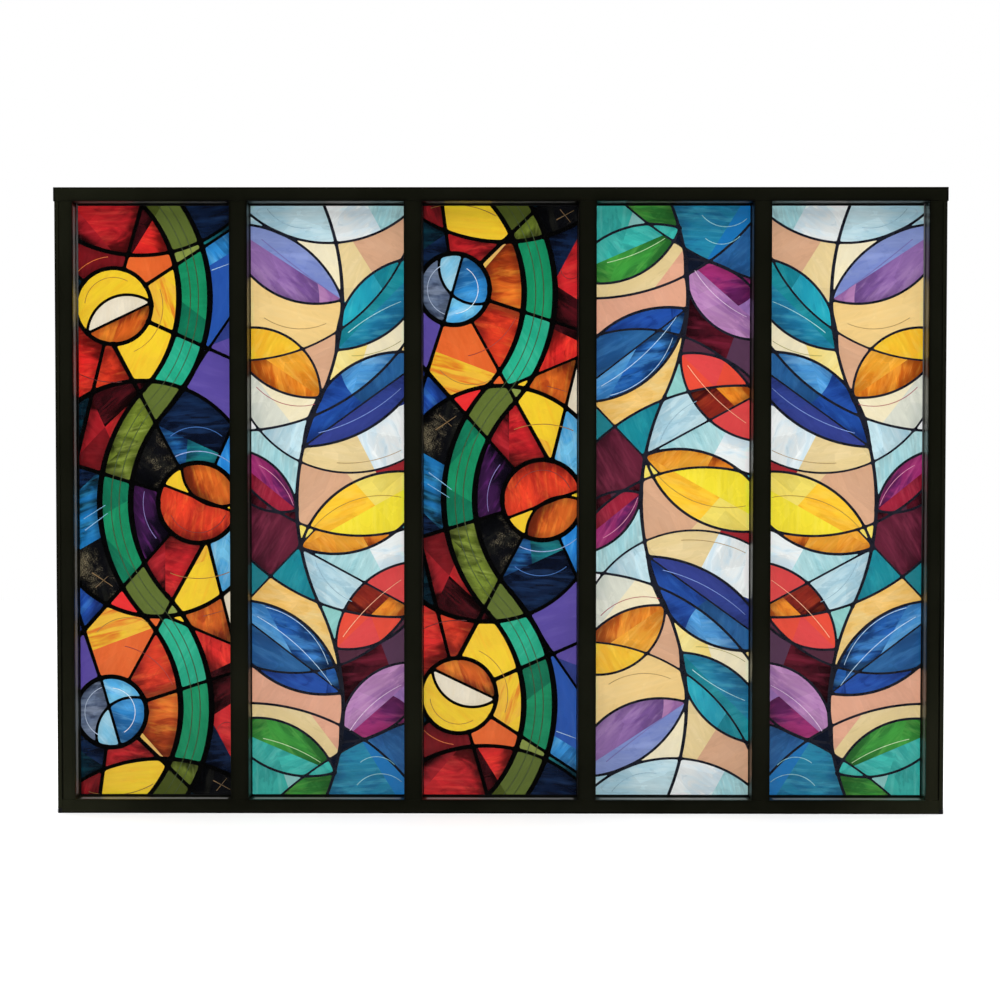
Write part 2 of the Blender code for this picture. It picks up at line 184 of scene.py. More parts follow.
def bow(x, t, radius, start, end, *widths):
    """Part of a circle, from one direction to another."""
    spots = [polar(x, t, radius, d) for d in (start, (start + end) / 2, end)]
    return ("arc", *spots, *widths)


def ray(x, t, degrees, near, far, *widths):
    """A straight line that leads away from a point."""
    return ("line", polar(x, t, near, degrees), polar(x, t, far, degrees), *widths)


def disc(x, t, radius, *widths):
    """A whole circle, as two halves."""
    return [
        bow(x, t, radius, 0, 180, *widths),
        bow(x, t, radius, 180, 360, *widths),
    ]


def leaf(base, tip, left, right, *widths):
    """Two arcs from one point to another, each as far off the straight way as told."""
    way = (tip[0] - base[0], tip[1] - base[1])
    long = math.hypot(*way)
    middle = ((base[0] + tip[0]) / 2, (base[1] + tip[1]) / 2)
    out = []
    for off in (-left, right):
        side = (middle[0] - way[1] / long * off, middle[1] + way[0] / long * off)
        out.append(("arc", base, side, tip, *widths))
    return out


def winding(x, t, reach, swing, sides, bends, *widths):
    """Lines that wind down from (x, t) in equal bends, first to the right: how
    long and how deep each bend is, and how far each line is off the middle."""
    radius = (reach * reach / 4 + swing * swing) / (2 * swing)
    half = math.degrees(math.asin(reach / 2 / radius))
    out = []
    for k in range(bends):
        way = 1 if k % 2 == 0 else -1
        cx, middle = x + way * (swing - radius), t + reach * (k + 0.5)
        facing = 0 if way > 0 else 180
        for side in sides:
            size = radius + way * side
            out.append(bow(cx, middle, size, facing - half, facing + half, *widths))
    return out


ONE = dict(
    ink="030303",
    gain=0.85,
    weight=0.8,
    curves=[
        # a band that winds down the sheet
        *winding(134, -18, 358, 70, (-28, 26), 3, 9, 9, 13),
        # a sun in each of its bends, with rays that cross it
        *disc(62, 176, 66, 9),
        ray(62, 176, -140, 66, 150, 7, 8),
        ray(62, 176, -74, 66, 200, 7, 9),
        ray(62, 176, -33, 66, 300, 8, 5),
        ray(62, 176, 24, 66, 290, 9, 6),
        ray(62, 176, 104, 66, 275, 7, 10),
        bow(86, 226, 70, 182.2, 306.6, 6, 6),
        ("line", (16, 223.3), (127.7, 169.8), 6, 5),
        *disc(208, 518, 70, 10),
        ray(208, 518, -66, 70, 240, 6, 9),
        ray(208, 518, -118, 70, 312.5, 6, 10),
        ray(208, 518, -163, 70, 240, 7, 9),
        ray(208, 518, 132, 70, 345, 6, 10),
        ray(208, 518, 76, 70, 256.3, 8, 6),
        ("line", (146, 486), (276, 536), 6, 6),
        bow(246, 458, 66, 61, 183.6, 6, 6),
        *disc(54, 884, 62, 10),
        ray(54, 884, -108, 62, 280, 7, 10),
        ray(54, 884, -61, 62, 339, 6, 9),
        ray(54, 884, -18, 62, 290, 8, 6),
        ray(54, 884, 44, 62, 330, 9, 6),
        ray(54, 884, 98, 62, 190, 7, 9),
        ("line", (36, 824), (70, 944), 6, 6),
        bow(94, 924, 66, 164.8, 285.2, 6, 6),
        # long sweeps from side to side
        ("arc", (-8, 58), (110, 88), (278, 20), 10, 6),
        ("arc", (-8, 346), (126, 306), (278, 396), 11, 7),
        ("arc", (-8, 652), (120, 716), (278, 652), 9, 9),
        ("arc", (-8, 1010), (130, 966), (278, 1004), 7, 10),
        ("line", (278, 176), (150, 362), 5, 7),
        ("line", (278, 770), (150, 716), 5, 7),
    ],
    tones=[
        ("line", (0, 10), (56, 76)),
        ("line", (150, -4), (98, 80)),
        ("line", (222, 110), (278, 76)),
        ("line", (214, 250), (278, 226)),
        ("arc", (-4, 440), (50, 382), (96, 340)),
        ("line", (16, 320), (66, 430)),
        ("line", (140, 384), (262, 440)),
        ("line", (196, 340), (186, 456)),
        ("line", (-4, 500), (70, 430)),
        ("line", (0, 600), (70, 560)),
        ("line", (30, 560), (110, 650)),
        ("line", (150, 590), (150, 670)),
        ("line", (170, 640), (262, 600)),
        ("line", (196, 830), (278, 790)),
        ("line", (6, 782), (150, 728)),
        ("line", (216, 900), (278, 860)),
        ("line", (-4, 950), (56, 990)),
        ("line", (90, 900), (160, 980)),
        ("line", (60, 1030), (140, 990)),
        ("line", (230, 900), (278, 990)),
        ("line", (170, 160), (236, 210)),
        ("line", (100, 360), (150, 420)),
        ("line", (40, 540), (110, 500)),
        ("line", (170, 540), (250, 570)),
        ("line", (226, 476), (250, 500)),
        ("line", (130, 110), (180, 150)),
        ("line", (120, 230), (150, 290)),
    ],
    seeds=[
        (69, 790, "orange"),
        (64, 32, "crimson"), (134, 7, "olive_dark"), (163, 22, "olive"), (229, 24, "midnight"),
        (13, 48, "crimson_deep"), (118, 29, "maroon"), (268, 36, "navy_teal"), (130, 65, "red"),
        (255, 72, "blue_clear"), (19, 97, "oxblood"), (177, 89, "olive_tip"), (251, 115, "cobalt"),
        (200, 122, "emerald"), (123, 110, "orange"), (48, 139, "yellow"), (161, 125, "yellow"),
        (150, 153, "yellow_orange"), (2, 134, "night"), (71, 170, "cream"), (75, 211, "orange_mottle"),
        (199, 209, "green_deep"), (261, 222, "indigo"), (18, 254, "red"), (113, 263, "yellow"),
        (181, 266, "mint"), (258, 247, "violet"), (58, 288, "vermilion"), (237, 302, "violet"),
        (108, 314, "maroon"), (55, 344, "maroon"), (139, 333, "olive"), (197, 370, "midnight"),
        (6, 351, "night"), (103, 379, "olive_mottle"), (29, 383, "crimson_deep"), (55, 387, "crimson"),
        (174, 416, "navy_streaks"), (23, 438, "oxblood"), (258, 443, "bright_blue"),
        (135, 447, "soot"), (203, 430, "navy_teal"), (60, 431, "olive_mottle"), (225, 484, "orange_mottle"),
        (9, 472, "midnight"), (169, 480, "yellow"), (17, 569, "blue_rays"), (64, 501, "green_deep"),
        (125, 570, "plum_night"), (193, 546, "vermilion"), (66, 559, "emerald"), (266, 526, "yellow"),
        (252, 600, "light_blue"), (174, 610, "crimson"), (27, 642, "soot"), (80, 636, "green_deep"),
        (136, 624, "crimson_deep"), (219, 610, "yellow_orange"), (212, 664, "yellow"), (120, 683, "olive"),
        (16, 701, "royal"), (262, 685, "cream"), (73, 690, "scarlet"), (231, 722, "orange_mottle"),
        (162, 705, "olive_tip"), (66, 758, "yellow_orange"), (175, 720, "yellow"), (0, 733, "indigo"),
        (131, 725, "orange"), (174, 757, "mint"), (243, 782, "red"), (13, 814, "violet"),
        (130, 820, "vermilion"), (262, 806, "maroon"), (252, 843, "maroon"), (62, 844, "light_blue"),
        (22, 869, "slate"), (198, 928, "emerald"), (141, 915, "orange_mottle"), (85, 889, "blue_clear"),
        (252, 903, "crimson"), (46, 925, "pale_blue"), (242, 962, "midnight"), (29, 958, "midnight"),
        (109, 927, "peach_amber"), (98, 951, "crimson"), (13, 978, "night"), (96, 1003, "yellow"),
        (186, 988, "olive_mottle"), (228, 1010, "soot"), (158, 1015, "olive_dark"), (16, 1017, "crimson_deep"),
        (195, 1029, "night"),
    ],
    hairs=[
        # two fine lines along the band, then loose strokes round the suns
        *[c + ("37491c",) for c in winding(134, -18, 358, 70, (-8, 6), 3, 1.2, 1.0, 1.6)],
        bow(62, 176, 86, -176, -96, 1.4, 1.0, "e8742c"),
        bow(62, 176, 50, 186, 300, 1.2, 1.0, "b07818"),
        bow(62, 176, 86, -20, 66, 1.3, 1.0, "b07818"),
        bow(62, 176, 132, 84, 128, 1.6, 0.9, "5c0d12"),
        ray(62, 176, -14, 184, 222, 1.6, 0.8, "bfe4f8"),
        ray(62, 176, -20, 182, 218, 1.2, 0.8, "bfe4f8"),
        bow(208, 518, 90, -116, -22, 1.5, 1.0, "9ab4e4"),
        bow(208, 518, 52, 24, 156, 1.4, 1.0, "7c1c10"),
        bow(208, 518, 132, 66, 112, 1.4, 1.2, "a4701c"),
        bow(208, 518, 96, 140, 192, 1.3, 0.9, "8476b8"),
        ("arc", (160, 402), (200, 386), (250, 402), 1.2, 1.0, "3c74c0"),
        ("line", (10, 566), (50, 536), 1.8, 0.8, "8ac4ec"),
        ("line", (8, 546), (46, 522), 1.2, 0.8, "8ac4ec"),
        ("line", (22, 640), (58, 664), 1.8, 0.8, "86683c"),
        ("line", (28, 666), (50, 646), 1.4, 0.6, "7c6440"),
        bow(54, 884, 46, 120, 250, 1.4, 1.0, "b4c4dc"),
        bow(54, 884, 42, -86, 58, 1.2, 1.0, "e4f2fa"),
        bow(54, 884, 118, -78, -24, 1.4, 1.0, "a02a1c"),
        bow(54, 884, 146, 60, 106, 1.4, 1.2, "a4701c"),
        ("line", (232, 1004), (262, 1020), 1.8, 0.8, "86683c"),
        ("line", (238, 1022), (256, 1000), 1.4, 0.6, "8a6a40"),
        ("arc", (240, 916), (254, 902), (268, 906), 1.2, 0.8, "7c1218"),
        ("line", (216, 716), (252, 706), 1.2, 0.8, "7a2c10"),
        ("arc", (30, 744), (70, 720), (120, 728), 1.3, 1.0, "b07818"),
    ],
)


TWO = dict(
    ink="1a1c28",
    gain=0.88,
    weight=0.7,
    curves=[
        # a stem that winds up the sheet, with broad leaves to both sides
        *winding(120, -18, 358, 40, (0,), 3, 7, 7, 9),
        *leaf((160, 165), (-40, 34), 56, 40, 6, 6),
        *leaf((150, 252), (310, 92), 52, 44, 6, 6),
        *leaf((122, 334), (-40, 222), 36, 54, 6, 6),
        *leaf((92, 420), (310, 262), 66, 42, 6, 7),
        *leaf((80, 530), (-50, 424), 44, 34, 6, 6),
        *leaf((86, 596), (310, 470), 54, 60, 7, 6),
        *leaf((148, 772), (306, 620), 48, 54, 6, 6),
        *leaf((158, 850), (-50, 690), 58, 56, 7, 6),
        *leaf((156, 936), (310, 800), 54, 40, 6, 6),
        *leaf((146, 990), (-50, 906), 38, 46, 6, 6),
        ("line", (92, 420), (310, 262), 4, 4),
        ("line", (158, 850), (-50, 690), 4, 4),
        # long sweeps behind it
        ("arc", (278, 12), (180, 62), (-8, 10), 6, 6),
        ("arc", (-8, 270), (160, 214), (278, 60), 5, 5),
        ("arc", (-8, 392), (120, 362), (278, 226), 6, 6),
        ("arc", (278, 436), (150, 464), (-8, 356), 5, 5),
        ("arc", (-8, 486), (150, 572), (278, 560), 6, 6),
        ("line", (86, 596), (278, 700), 5, 5),
        ("arc", (278, 716), (140, 700), (-8, 610), 6, 6),
        ("arc", (-8, 800), (140, 806), (278, 700), 5, 6),
        ("arc", (-8, 868), (140, 900), (278, 1010), 6, 6),
        ("arc", (278, 900), (160, 952), (40, 1040), 5, 5),
        ("line", (-8, 690), (112.5, 563.7), 5, 4),
    ],
    tones=[
        ("line", (60, -6), (104, 50)),
        ("line", (200, -6), (236, 60)),
        ("line", (160, 165), (-40, 34)),
        ("line", (150, 252), (310, 92)),
        ("line", (122, 334), (-40, 222)),
        ("line", (80, 530), (-50, 424)),
        ("line", (86, 596), (310, 470)),
        ("line", (148, 772), (306, 620)),
        ("line", (156, 936), (310, 800)),
        ("arc", (10, 60), (90, 90), (120, 170)),
        ("line", (14, 150), (98, 264)),
        ("line", (146, 990), (-50, 906)),
        ("line", (176, 60), (226, 140)),
        ("line", (6, 296), (76, 386)),
        ("line", (206, 236), (176, 330)),
        ("arc", (160, 300), (210, 350), (278, 340)),
        ("line", (180, 390), (220, 468)),
        ("line", (170, 470), (250, 560)),
        ("line", (186, 560), (240, 660)),
        ("line", (10, 640), (80, 690)),
        ("line", (200, 690), (240, 800)),
        ("line", (20, 690), (70, 780)),
        ("arc", (60, 740), (110, 770), (130, 850)),
        ("line", (90, 870), (150, 950)),
        ("arc", (180, 860), (230, 850), (278, 880)),
        ("line", (196, 940), (256, 1036)),
        ("line", (16, 870), (70, 1036)),
        ("line", (30, 506), (16, 600)),
    ],
    seeds=[
        (9, 881, "cream_gold"), (94, 901, "cream_gold"), (14, 915, "leaf"), (23, 956, "jade"),
        (67, 974, "jade"), (143, 969, "ink_navy"), (132, 978, "jade"), (119, 987, "jade"),
        (67, 1003, "pale_jade"),
        (103, 30, "ice"), (174, 29, "white"), (235, 17, "pale_aqua"), (3, 28, "ice"),
        (242, 71, "peach"), (71, 84, "periwinkle"), (38, 117, "lilac"), (133, 85, "ivory"),
        (182, 111, "cream_gold"), (269, 91, "apricot"), (260, 127, "teal"), (230, 124, "teal"),
        (98, 208, "apricot"), (201, 154, "turquoise"), (246, 186, "teal_strokes"), (131, 158, "lilac_pink"),
        (247, 238, "ivory"), (29, 241, "gold"), (125, 259, "peach"),
        (268, 250, "wheat"), (164, 267, "butter"), (5, 261, "gold"), (82, 279, "amber"),
        (256, 282, "steel_blue"), (208, 283, "sky_two"), (176, 298, "sky_two"), (33, 293, "orange_two"), (161, 316, "royal_two"),
        (25, 360, "pale_grey"), (243, 334, "indigo_two"), (77, 354, "ivory"), (122, 379, "royal_two"),
        (268, 343, "indigo_two"), (235, 415, "white"), (198, 368, "deep_indigo"), (3, 385, "white"),
        (67, 406, "ice"), (14, 416, "pale_aqua"), (172, 436, "cream_gold"), (23, 463, "magenta"),
        (263, 454, "cherry"), (114, 489, "peach"), (180, 472, "sand"), (29, 503, "crimson_two"),
        (222, 493, "straw"), (176, 516, "gold"), (250, 528, "lemon"), (6, 513, "wine"),
        (39, 579, "mulberry"), (30, 527, "plum"), (212, 550, "lemon"), (71, 539, "wine"),
        (269, 558, "steel_teal"), (90, 563, "straw"), (103, 567, "straw"), (248, 602, "white"),
        (114, 573, "amber"), (135, 588, "amber"), (208, 584, "orange_two"), (195, 626, "pale_aqua"),
        (72, 642, "teal"), (143, 665, "ice"), (12, 648, "teal_flat"), (241, 655, "coral"),
        (37, 675, "wheat"), (261, 677, "coral"), (203, 687, "rust"), (244, 700, "orange_two"),
        (15, 716, "sky_two"), (90, 764, "blue_two"), (143, 716, "pale_jade"), (173, 727, "tomato"),
        (200, 748, "coral"), (232, 733, "tomato"), (267, 725, "plum"), (24, 781, "steel_blue"),
        (251, 773, "aubergine"), (179, 815, "wine"), (163, 785, "plum"), (219, 846, "lilac_pink"),
        (21, 846, "salmon"), (141, 823, "blue_two"), (104, 832, "royal_two"), (126, 817, "blue_two"),
        (137, 843, "royal_two"), (262, 854, "lilac"), (249, 879, "magenta"), (28, 1003, "jade"),
        (87, 941, "leaf"), (267, 898, "magenta"), (140, 916, "salmon"), (247, 939, "steel_blue"),
        (165, 921, "ink_navy"), (175, 927, "ink_navy"), (256, 1009, "blue_flat"), (163, 943, "ink_navy"),
        (185, 995, "teal_strokes"), (112, 1011, "leaf"), (63, 1028, "leaf"),
    ],
    hairs=[
        ("arc", (30, 8), (62, 34), (108, 40), 1.3, 1.0, "8ab0c4"),
        ("arc", (20, 60), (64, 96), (146, 156), 1.2, 0.9, "6c5ca8"),
        ("arc", (24, 196), (70, 214), (132, 206), 1.2, 1.0, "b08c4c"),
        ("arc", (170, 222), (206, 196), (262, 168), 1.3, 0.9, "a4e0e4"),
        ("arc", (176, 262), (212, 258), (262, 236), 1.2, 1.0, "a8a050"),
        ("arc", (10, 316), (60, 346), (112, 346), 1.3, 1.0, "b0304c"),
        ("arc", (118, 396), (176, 376), (262, 318), 1.3, 0.9, "7c9ae0"),
        ("arc", (14, 452), (48, 478), (74, 522), 1.2, 0.9, "e08cb0"),
        ("arc", (150, 448), (200, 446), (262, 426), 1.2, 1.0, "b08c4c"),
        ("arc", (110, 560), (172, 516), (262, 508), 1.3, 1.0, "b88c1c"),
        ("arc", (112, 618), (132, 656), (176, 690), 1.3, 1.0, "8ab0c4"),
        ("arc", (160, 752), (214, 690), (262, 652), 1.3, 0.9, "fbb48c"),
        ("arc", (10, 716), (72, 760), (140, 836), 1.4, 0.9, "b4d8f4"),
        ("arc", (26, 700), (84, 728), (134, 800), 1.2, 0.9, "b4d8f4"),
        ("arc", (172, 916), (218, 864), (262, 836), 1.3, 0.9, "e4c8e4"),
        ("arc", (20, 930), (66, 944), (120, 972), 1.3, 0.9, "c4e8b0"),
        ("arc", (184, 1012), (226, 992), (262, 1006), 1.4, 1.0, "8cccd4"),
        ("arc", (190, 972), (222, 962), (250, 976), 1.2, 1.0, "8cccd4"),
    ],
)

# --------------------------------------------------- from curves to flat shapes

SHEET = (-FILM_SIDE, CLEAR_WIDTH / MM + FILM_SIDE, -FILM_END, CLEAR_HEIGHT / MM + FILM_END)
CELL = 1.0  # mm, the grid on which the lines are traced
INK_FLOW = 1.2  # mm, how far ink runs into the corners between lines


def linear(code):
    """A colour written as six hexadecimal digits, in linear light."""
    out = []
    for i in (0, 2, 4):
        c = int(code[i : i + 2], 16) / 255
        out.append(c / 12.92 if c <= 0.04045 else ((c + 0.055) / 1.055) ** 2.4)
    return out


def sampled(curve, step=5.0):
    """Points along a curve and half its width at each."""
    kind = curve[0]
    if kind == "line":
        a, b = curve[1], curve[2]
        widths = list(curve[3:]) or [1.0]
        n = max(2, int(math.dist(a, b) / 30) + 1)
        u = np.linspace(0.0, 1.0, n)
        points = np.stack([a[0] + (b[0] - a[0]) * u, a[1] + (b[1] - a[1]) * u], 1)
        width = widths[0] + (widths[-1] - widths[0]) * u
        return points, width / 2
    a, m, b = curve[1:4]
    widths = list(curve[4:]) or [1.0]
    start = widths[0]
    end = widths[1] if len(widths) > 1 else start
    middle = widths[2] if len(widths) > 2 else (start + end) / 2
    d = 2 * (a[0] * (m[1] - b[1]) + m[0] * (b[1] - a[1]) + b[0] * (a[1] - m[1]))
    sa, sm, sb = (p[0] ** 2 + p[1] ** 2 for p in (a, m, b))
    cx = (sa * (m[1] - b[1]) + sm * (b[1] - a[1]) + sb * (a[1] - m[1])) / d
    cy = (sa * (b[0] - m[0]) + sm * (a[0] - b[0]) + sb * (m[0] - a[0])) / d
    radius = math.dist((cx, cy), a)
    angles = [math.atan2(p[1] - cy, p[0] - cx) for p in (a, m, b)]
    to_middle = (angles[1] - angles[0]) % math.tau
    sweep = (angles[2] - angles[0]) % math.tau
    if to_middle > sweep:
        sweep -= math.tau
    n = max(8, int(abs(sweep) * radius / step))
    u = np.linspace(0.0, 1.0, n)
    turn = angles[0] + sweep * u
    points = np.stack([cx + radius * np.cos(turn), cy + radius * np.sin(turn)], 1)
    width = np.where(
        u < 0.5,
        start + (middle - start) * u * 2,
        middle + (end - middle) * (u * 2 - 1),
    )
    return points, width / 2


def lengthened(points, by):
    """The points with both ends moved out along their own direction."""
    out = points.copy()
    for end, near in ((0, 1), (-1, -2)):
        way = points[end] - points[near]
        out[end] = points[end] + way / np.hypot(*way) * by
    return out


class Sheet:
    """One printed sheet, triangulated into ink and shards of colour."""

    def __init__(self, name, design):
        self.name = name
        self.design = design
        self.trace()
        self.triangulate()
        self.colour_in()

    # ---- the field: distance to the nearest line, negative inside it

    def trace(self):
        x0, x1, t0, t1 = SHEET
        self.xs = np.linspace(x0, x1, int(round((x1 - x0) / CELL)) + 1)
        self.ts = np.linspace(t0, t1, int(round((t1 - t0) / CELL)) + 1)
        gx, gt = np.meshgrid(self.xs, self.ts)
        total = np.zeros_like(gx)
        reach = 70.0
        for curve in self.design["curves"]:
            points, half = sampled(curve)
            half = half * self.design["weight"]
            best = np.full(gx.shape, reach)
            for p, q, h0, h1 in zip(points[:-1], points[1:], half[:-1], half[1:]):
                i0, i1 = np.searchsorted(
                    self.xs, (min(p[0], q[0]) - 24, max(p[0], q[0]) + 24)
                )
                j0, j1 = np.searchsorted(
                    self.ts, (min(p[1], q[1]) - 24, max(p[1], q[1]) + 24)
                )
                if i0 >= i1 or j0 >= j1:
                    continue
                sx, st = gx[j0:j1, i0:i1], gt[j0:j1, i0:i1]
                way = q - p
                u = ((sx - p[0]) * way[0] + (st - p[1]) * way[1]) / max(
                    way @ way, 1e-9
                )
                u = np.clip(u, 0.0, 1.0)
                d = np.hypot(sx - p[0] - u * way[0], st - p[1] - u * way[1])
                d -= h0 + (h1 - h0) * u
                patch = best[j0:j1, i0:i1]
                np.minimum(patch, d, out=patch)
            total += np.exp(-best / INK_FLOW)
        self.field = -INK_FLOW * np.log(np.maximum(total, 1e-30))

    def distance(self, points):
        """The field at any points, between the grid's own."""
        points = np.asarray(points, float)
        fx = (points[:, 0] - self.xs[0]) / (self.xs[1] - self.xs[0])
        ft = (points[:, 1] - self.ts[0]) / (self.ts[1] - self.ts[0])
        i = np.clip(fx.astype(int), 0, len(self.xs) - 2)
        j = np.clip(ft.astype(int), 0, len(self.ts) - 2)
        a, b = np.clip(fx - i, 0, 1), np.clip(ft - j, 0, 1)
        f = self.field
        low = f[j, i] * (1 - a) + f[j, i + 1] * a
        high = f[j + 1, i] * (1 - a) + f[j + 1, i + 1] * a
        return low * (1 - b) + high * b

    # ---- outlines of the ink, as chains of points

    def outlines(self):
        f, xs, ts = self.field, self.xs, self.ts
        inside = f < 0
        ids, points = {}, []

        def crossing(kind, j, i):
            key = (kind, j, i)
            if key not in ids:
                j2, i2 = (j, i + 1) if kind == "across" else (j + 1, i)
                a, b = f[j, i], f[j2, i2]
                u = a / (a - b)
                ids[key] = len(points)
                points.append(
                    (xs[i] + (xs[i2] - xs[i]) * u, ts[j] + (ts[j2] - ts[j]) * u)
                )
            return ids[key]

        code = (
            inside[:-1, :-1] * 1
            + inside[:-1, 1:] * 2
            + inside[1:, 1:] * 4
            + inside[1:, :-1] * 8
        )
        links = {}

        def link(a, b):
            links.setdefault(a, []).append(b)
            links.setdefault(b, []).append(a)

        # sides of a cell: 0 top, 1 right, 2 bottom, 3 left
        cases = {
            1: [(3, 0)], 2: [(0, 1)], 3: [(3, 1)], 4: [(1, 2)],
            6: [(0, 2)], 7: [(3, 2)], 8: [(2, 3)], 9: [(2, 0)],
            11: [(2, 1)], 12: [(1, 3)], 13: [(1, 0)], 14: [(0, 3)],
        }
        for j, i in zip(*np.nonzero((code > 0) & (code < 15))):
            c = int(code[j, i])
            side = {
                0: ("across", j, i),
                1: ("down", j, i + 1),
                2: ("across", j + 1, i),
                3: ("down", j, i),
            }
            if c in cases:
                pairs = cases[c]
            else:
                middle = f[j : j + 2, i : i + 2].mean() < 0
                joined = [(3, 2), (0, 1)] if c == 5 else [(3, 0), (1, 2)]
                apart = [(3, 0), (1, 2)] if c == 5 else [(0, 1), (2, 3)]
                pairs = joined if middle else apart
                if c == 5 and middle:
                    pairs = [(0, 1), (2, 3)]
                elif c == 10 and middle:
                    pairs = [(3, 0), (1, 2)]
            for a, b in pairs:
                link(crossing(*side[a]), crossing(*side[b]))

        chains, seen = [], set()
        starts = [n for n, l in links.items() if len(l) == 1]
        for first in starts + list(links):
            if first in seen:
                continue
            chain = [first]
            seen.add(first)
            while True:
                ahead = [n for n in links[chain[-1]] if n not in seen]
                if not ahead:
                    break
                chain.append(ahead[0])
                seen.add(ahead[0])
            closed = len(links[first]) == 2 and first in links[chain[-1]]
            chains.append((np.array([points[n] for n in chain]), closed))
        return chains

    @staticmethod
    def simplified(points, closed, tolerance=0.07):
        if closed:
            far = int(np.argmax(np.hypot(*(points - points[0]).T)))
            ring = np.vstack([points, points[:1]])
            spans = [(0, far), (far, len(ring) - 1)]
        else:
            ring = points
            spans = [(0, len(ring) - 1)]
        keep = {s for span in spans for s in span}
        while spans:
            a, b = spans.pop()
            if b - a < 2:
                continue
            way = ring[b] - ring[a]
            long = np.hypot(*way)
            rel = ring[a + 1 : b] - ring[a]
            if long < 1e-9:
                off = np.hypot(*rel.T)
            else:
                off = np.abs(rel[:, 0] * way[1] - rel[:, 1] * way[0]) / long
            worst = int(np.argmax(off))
            if off[worst] > tolerance or b - a > 12:
                mid = a + 1 + worst if off[worst] > tolerance else (a + b) // 2
                keep.add(mid)
                spans += [(a, mid), (mid, b)]
        return ring[sorted(keep)]

    # ---- triangles

    def triangulate(self):
        x0, x1, t0, t1 = SHEET
        verts, edges = [], []

        def add(points):
            first = len(verts)
            verts.extend(map(tuple, points))
            edges.extend((first + k, first + k + 1) for k in range(len(points) - 1))

        on_sides = {side: [] for side in range(4)}
        for chain, closed in self.outlines():
            if len(chain) < 4:
                continue
            chain = self.simplified(chain, closed)
            add(chain)
            for p in chain:
                for side, (axis, value) in enumerate(
                    ((1, t0), (0, x1), (1, t1), (0, x0))
                ):
                    if abs(p[axis] - value) < 1e-6:
                        on_sides[side].append(tuple(p))
        corners = [(x0, t0), (x1, t0), (x1, t1), (x0, t1)]
        for side in range(4):
            a, b = corners[side], corners[(side + 1) % 4]
            axis = 0 if side in (0, 2) else 1
            row = sorted(on_sides[side], key=lambda p: p[axis], reverse=side > 1)
            add([a, *row, b])
        for tone in self.design["tones"]:
            points = lengthened(sampled(tone)[0], 7.0)
            run = []
            for p, q in zip(points[:-1], points[1:]):
                part = self.clipped(p, q)
                if part is None:
                    if len(run) > 1:
                        add(run)
                    run = []
                    continue
                if not run:
                    run = [part[0]]
                run.append(part[1])
            if len(run) > 1:
                add(run)
        spacing = 6.0
        rows = np.arange(t0 + 2.5, t1 - 2, spacing * 0.87)
        extra = [
            (x, t)
            for k, t in enumerate(rows)
            for x in np.arange(x0 + (2 if k % 2 else 5), x1 - 1.5, spacing)
        ]
        clear = self.distance(extra)
        verts.extend(p for p, d in zip(extra, clear) if d > 2.0)

        out = delaunay_2d_cdt([Vector(v) for v in verts], edges, [], 0, 1e-4, True)
        self.verts = np.array([v[:] for v in out[0]])
        fixed = {
            (min(e), max(e)) for e, origin in zip(out[1], out[4]) if len(origin)
        }
        tris = np.array([f for f in out[2] if len(f) == 3])
        a, b, c = (self.verts[tris[:, k]] for k in range(3))
        area = (b[:, 0] - a[:, 0]) * (c[:, 1] - a[:, 1]) - (b[:, 1] - a[:, 1]) * (
            c[:, 0] - a[:, 0]
        )
        tris[area < 0] = tris[area < 0][:, ::-1]
        keep = np.abs(area) > 1e-7
        self.tris, self.area = tris[keep], np.abs(area[keep]) / 2
        self.near = np.maximum(self.distance(self.verts), 0.0)

        # triangles that meet across a free edge belong to one shard
        across = {}
        for n, tri in enumerate(self.tris.tolist()):
            for k in range(3):
                key = (tri[k], tri[(k + 1) % 3])
                across.setdefault((min(key), max(key)), []).append(n)
        beside = [[] for _ in self.tris]
        for key, pair in across.items():
            if key not in fixed and len(pair) == 2:
                beside[pair[0]].append(pair[1])
                beside[pair[1]].append(pair[0])
        self.shard = np.full(len(self.tris), -1)
        count = 0
        for first in range(len(self.tris)):
            if self.shard[first] >= 0:
                continue
            todo = [first]
            self.shard[first] = count
            while todo:
                for n in beside[todo.pop()]:
                    if self.shard[n] < 0:
                        self.shard[n] = count
                        todo.append(n)
            count += 1
        self.shards = count

    @staticmethod
    def clipped(p, q):
        """The part of a segment that is on the sheet, or None."""
        x0, x1, t0, t1 = SHEET
        low, high = 0.0, 1.0
        way = q - p
        for axis, a, b in ((0, x0, x1), (1, t0, t1)):
            if abs(way[axis]) < 1e-12:
                if not a <= p[axis] <= b:
                    return None
                continue
            u, v = sorted(((a - p[axis]) / way[axis], (b - p[axis]) / way[axis]))
            low, high = max(low, u), min(high, v)
        if low >= high:
            return None
        return tuple(p + way * low), tuple(p + way * high)

    # ---- which paint each shard has

    def colour_in(self):
        middle = self.verts[self.tris].mean(1)
        level = self.distance(middle)
        weight = np.bincount(self.shard, self.area, self.shards)
        mean = np.bincount(self.shard, self.area * level, self.shards) / weight
        self.ink = mean < 0
        centre = np.stack(
            [
                np.bincount(self.shard, self.area * middle[:, k], self.shards) / weight
                for k in (0, 1)
            ],
            1,
        )
        self.centre, self.weight = centre, weight
        a, b, c = (self.verts[self.tris[:, k]] for k in range(3))

        def holding(p):
            def side(u, v):
                return (v[:, 0] - u[:, 0]) * (p[1] - u[:, 1]) - (
                    v[:, 1] - u[:, 1]
                ) * (p[0] - u[:, 0])

            found = np.nonzero(
                (side(a, b) >= 0) & (side(b, c) >= 0) & (side(c, a) >= 0)
            )[0]
            return int(self.shard[found[0]]) if len(found) else None

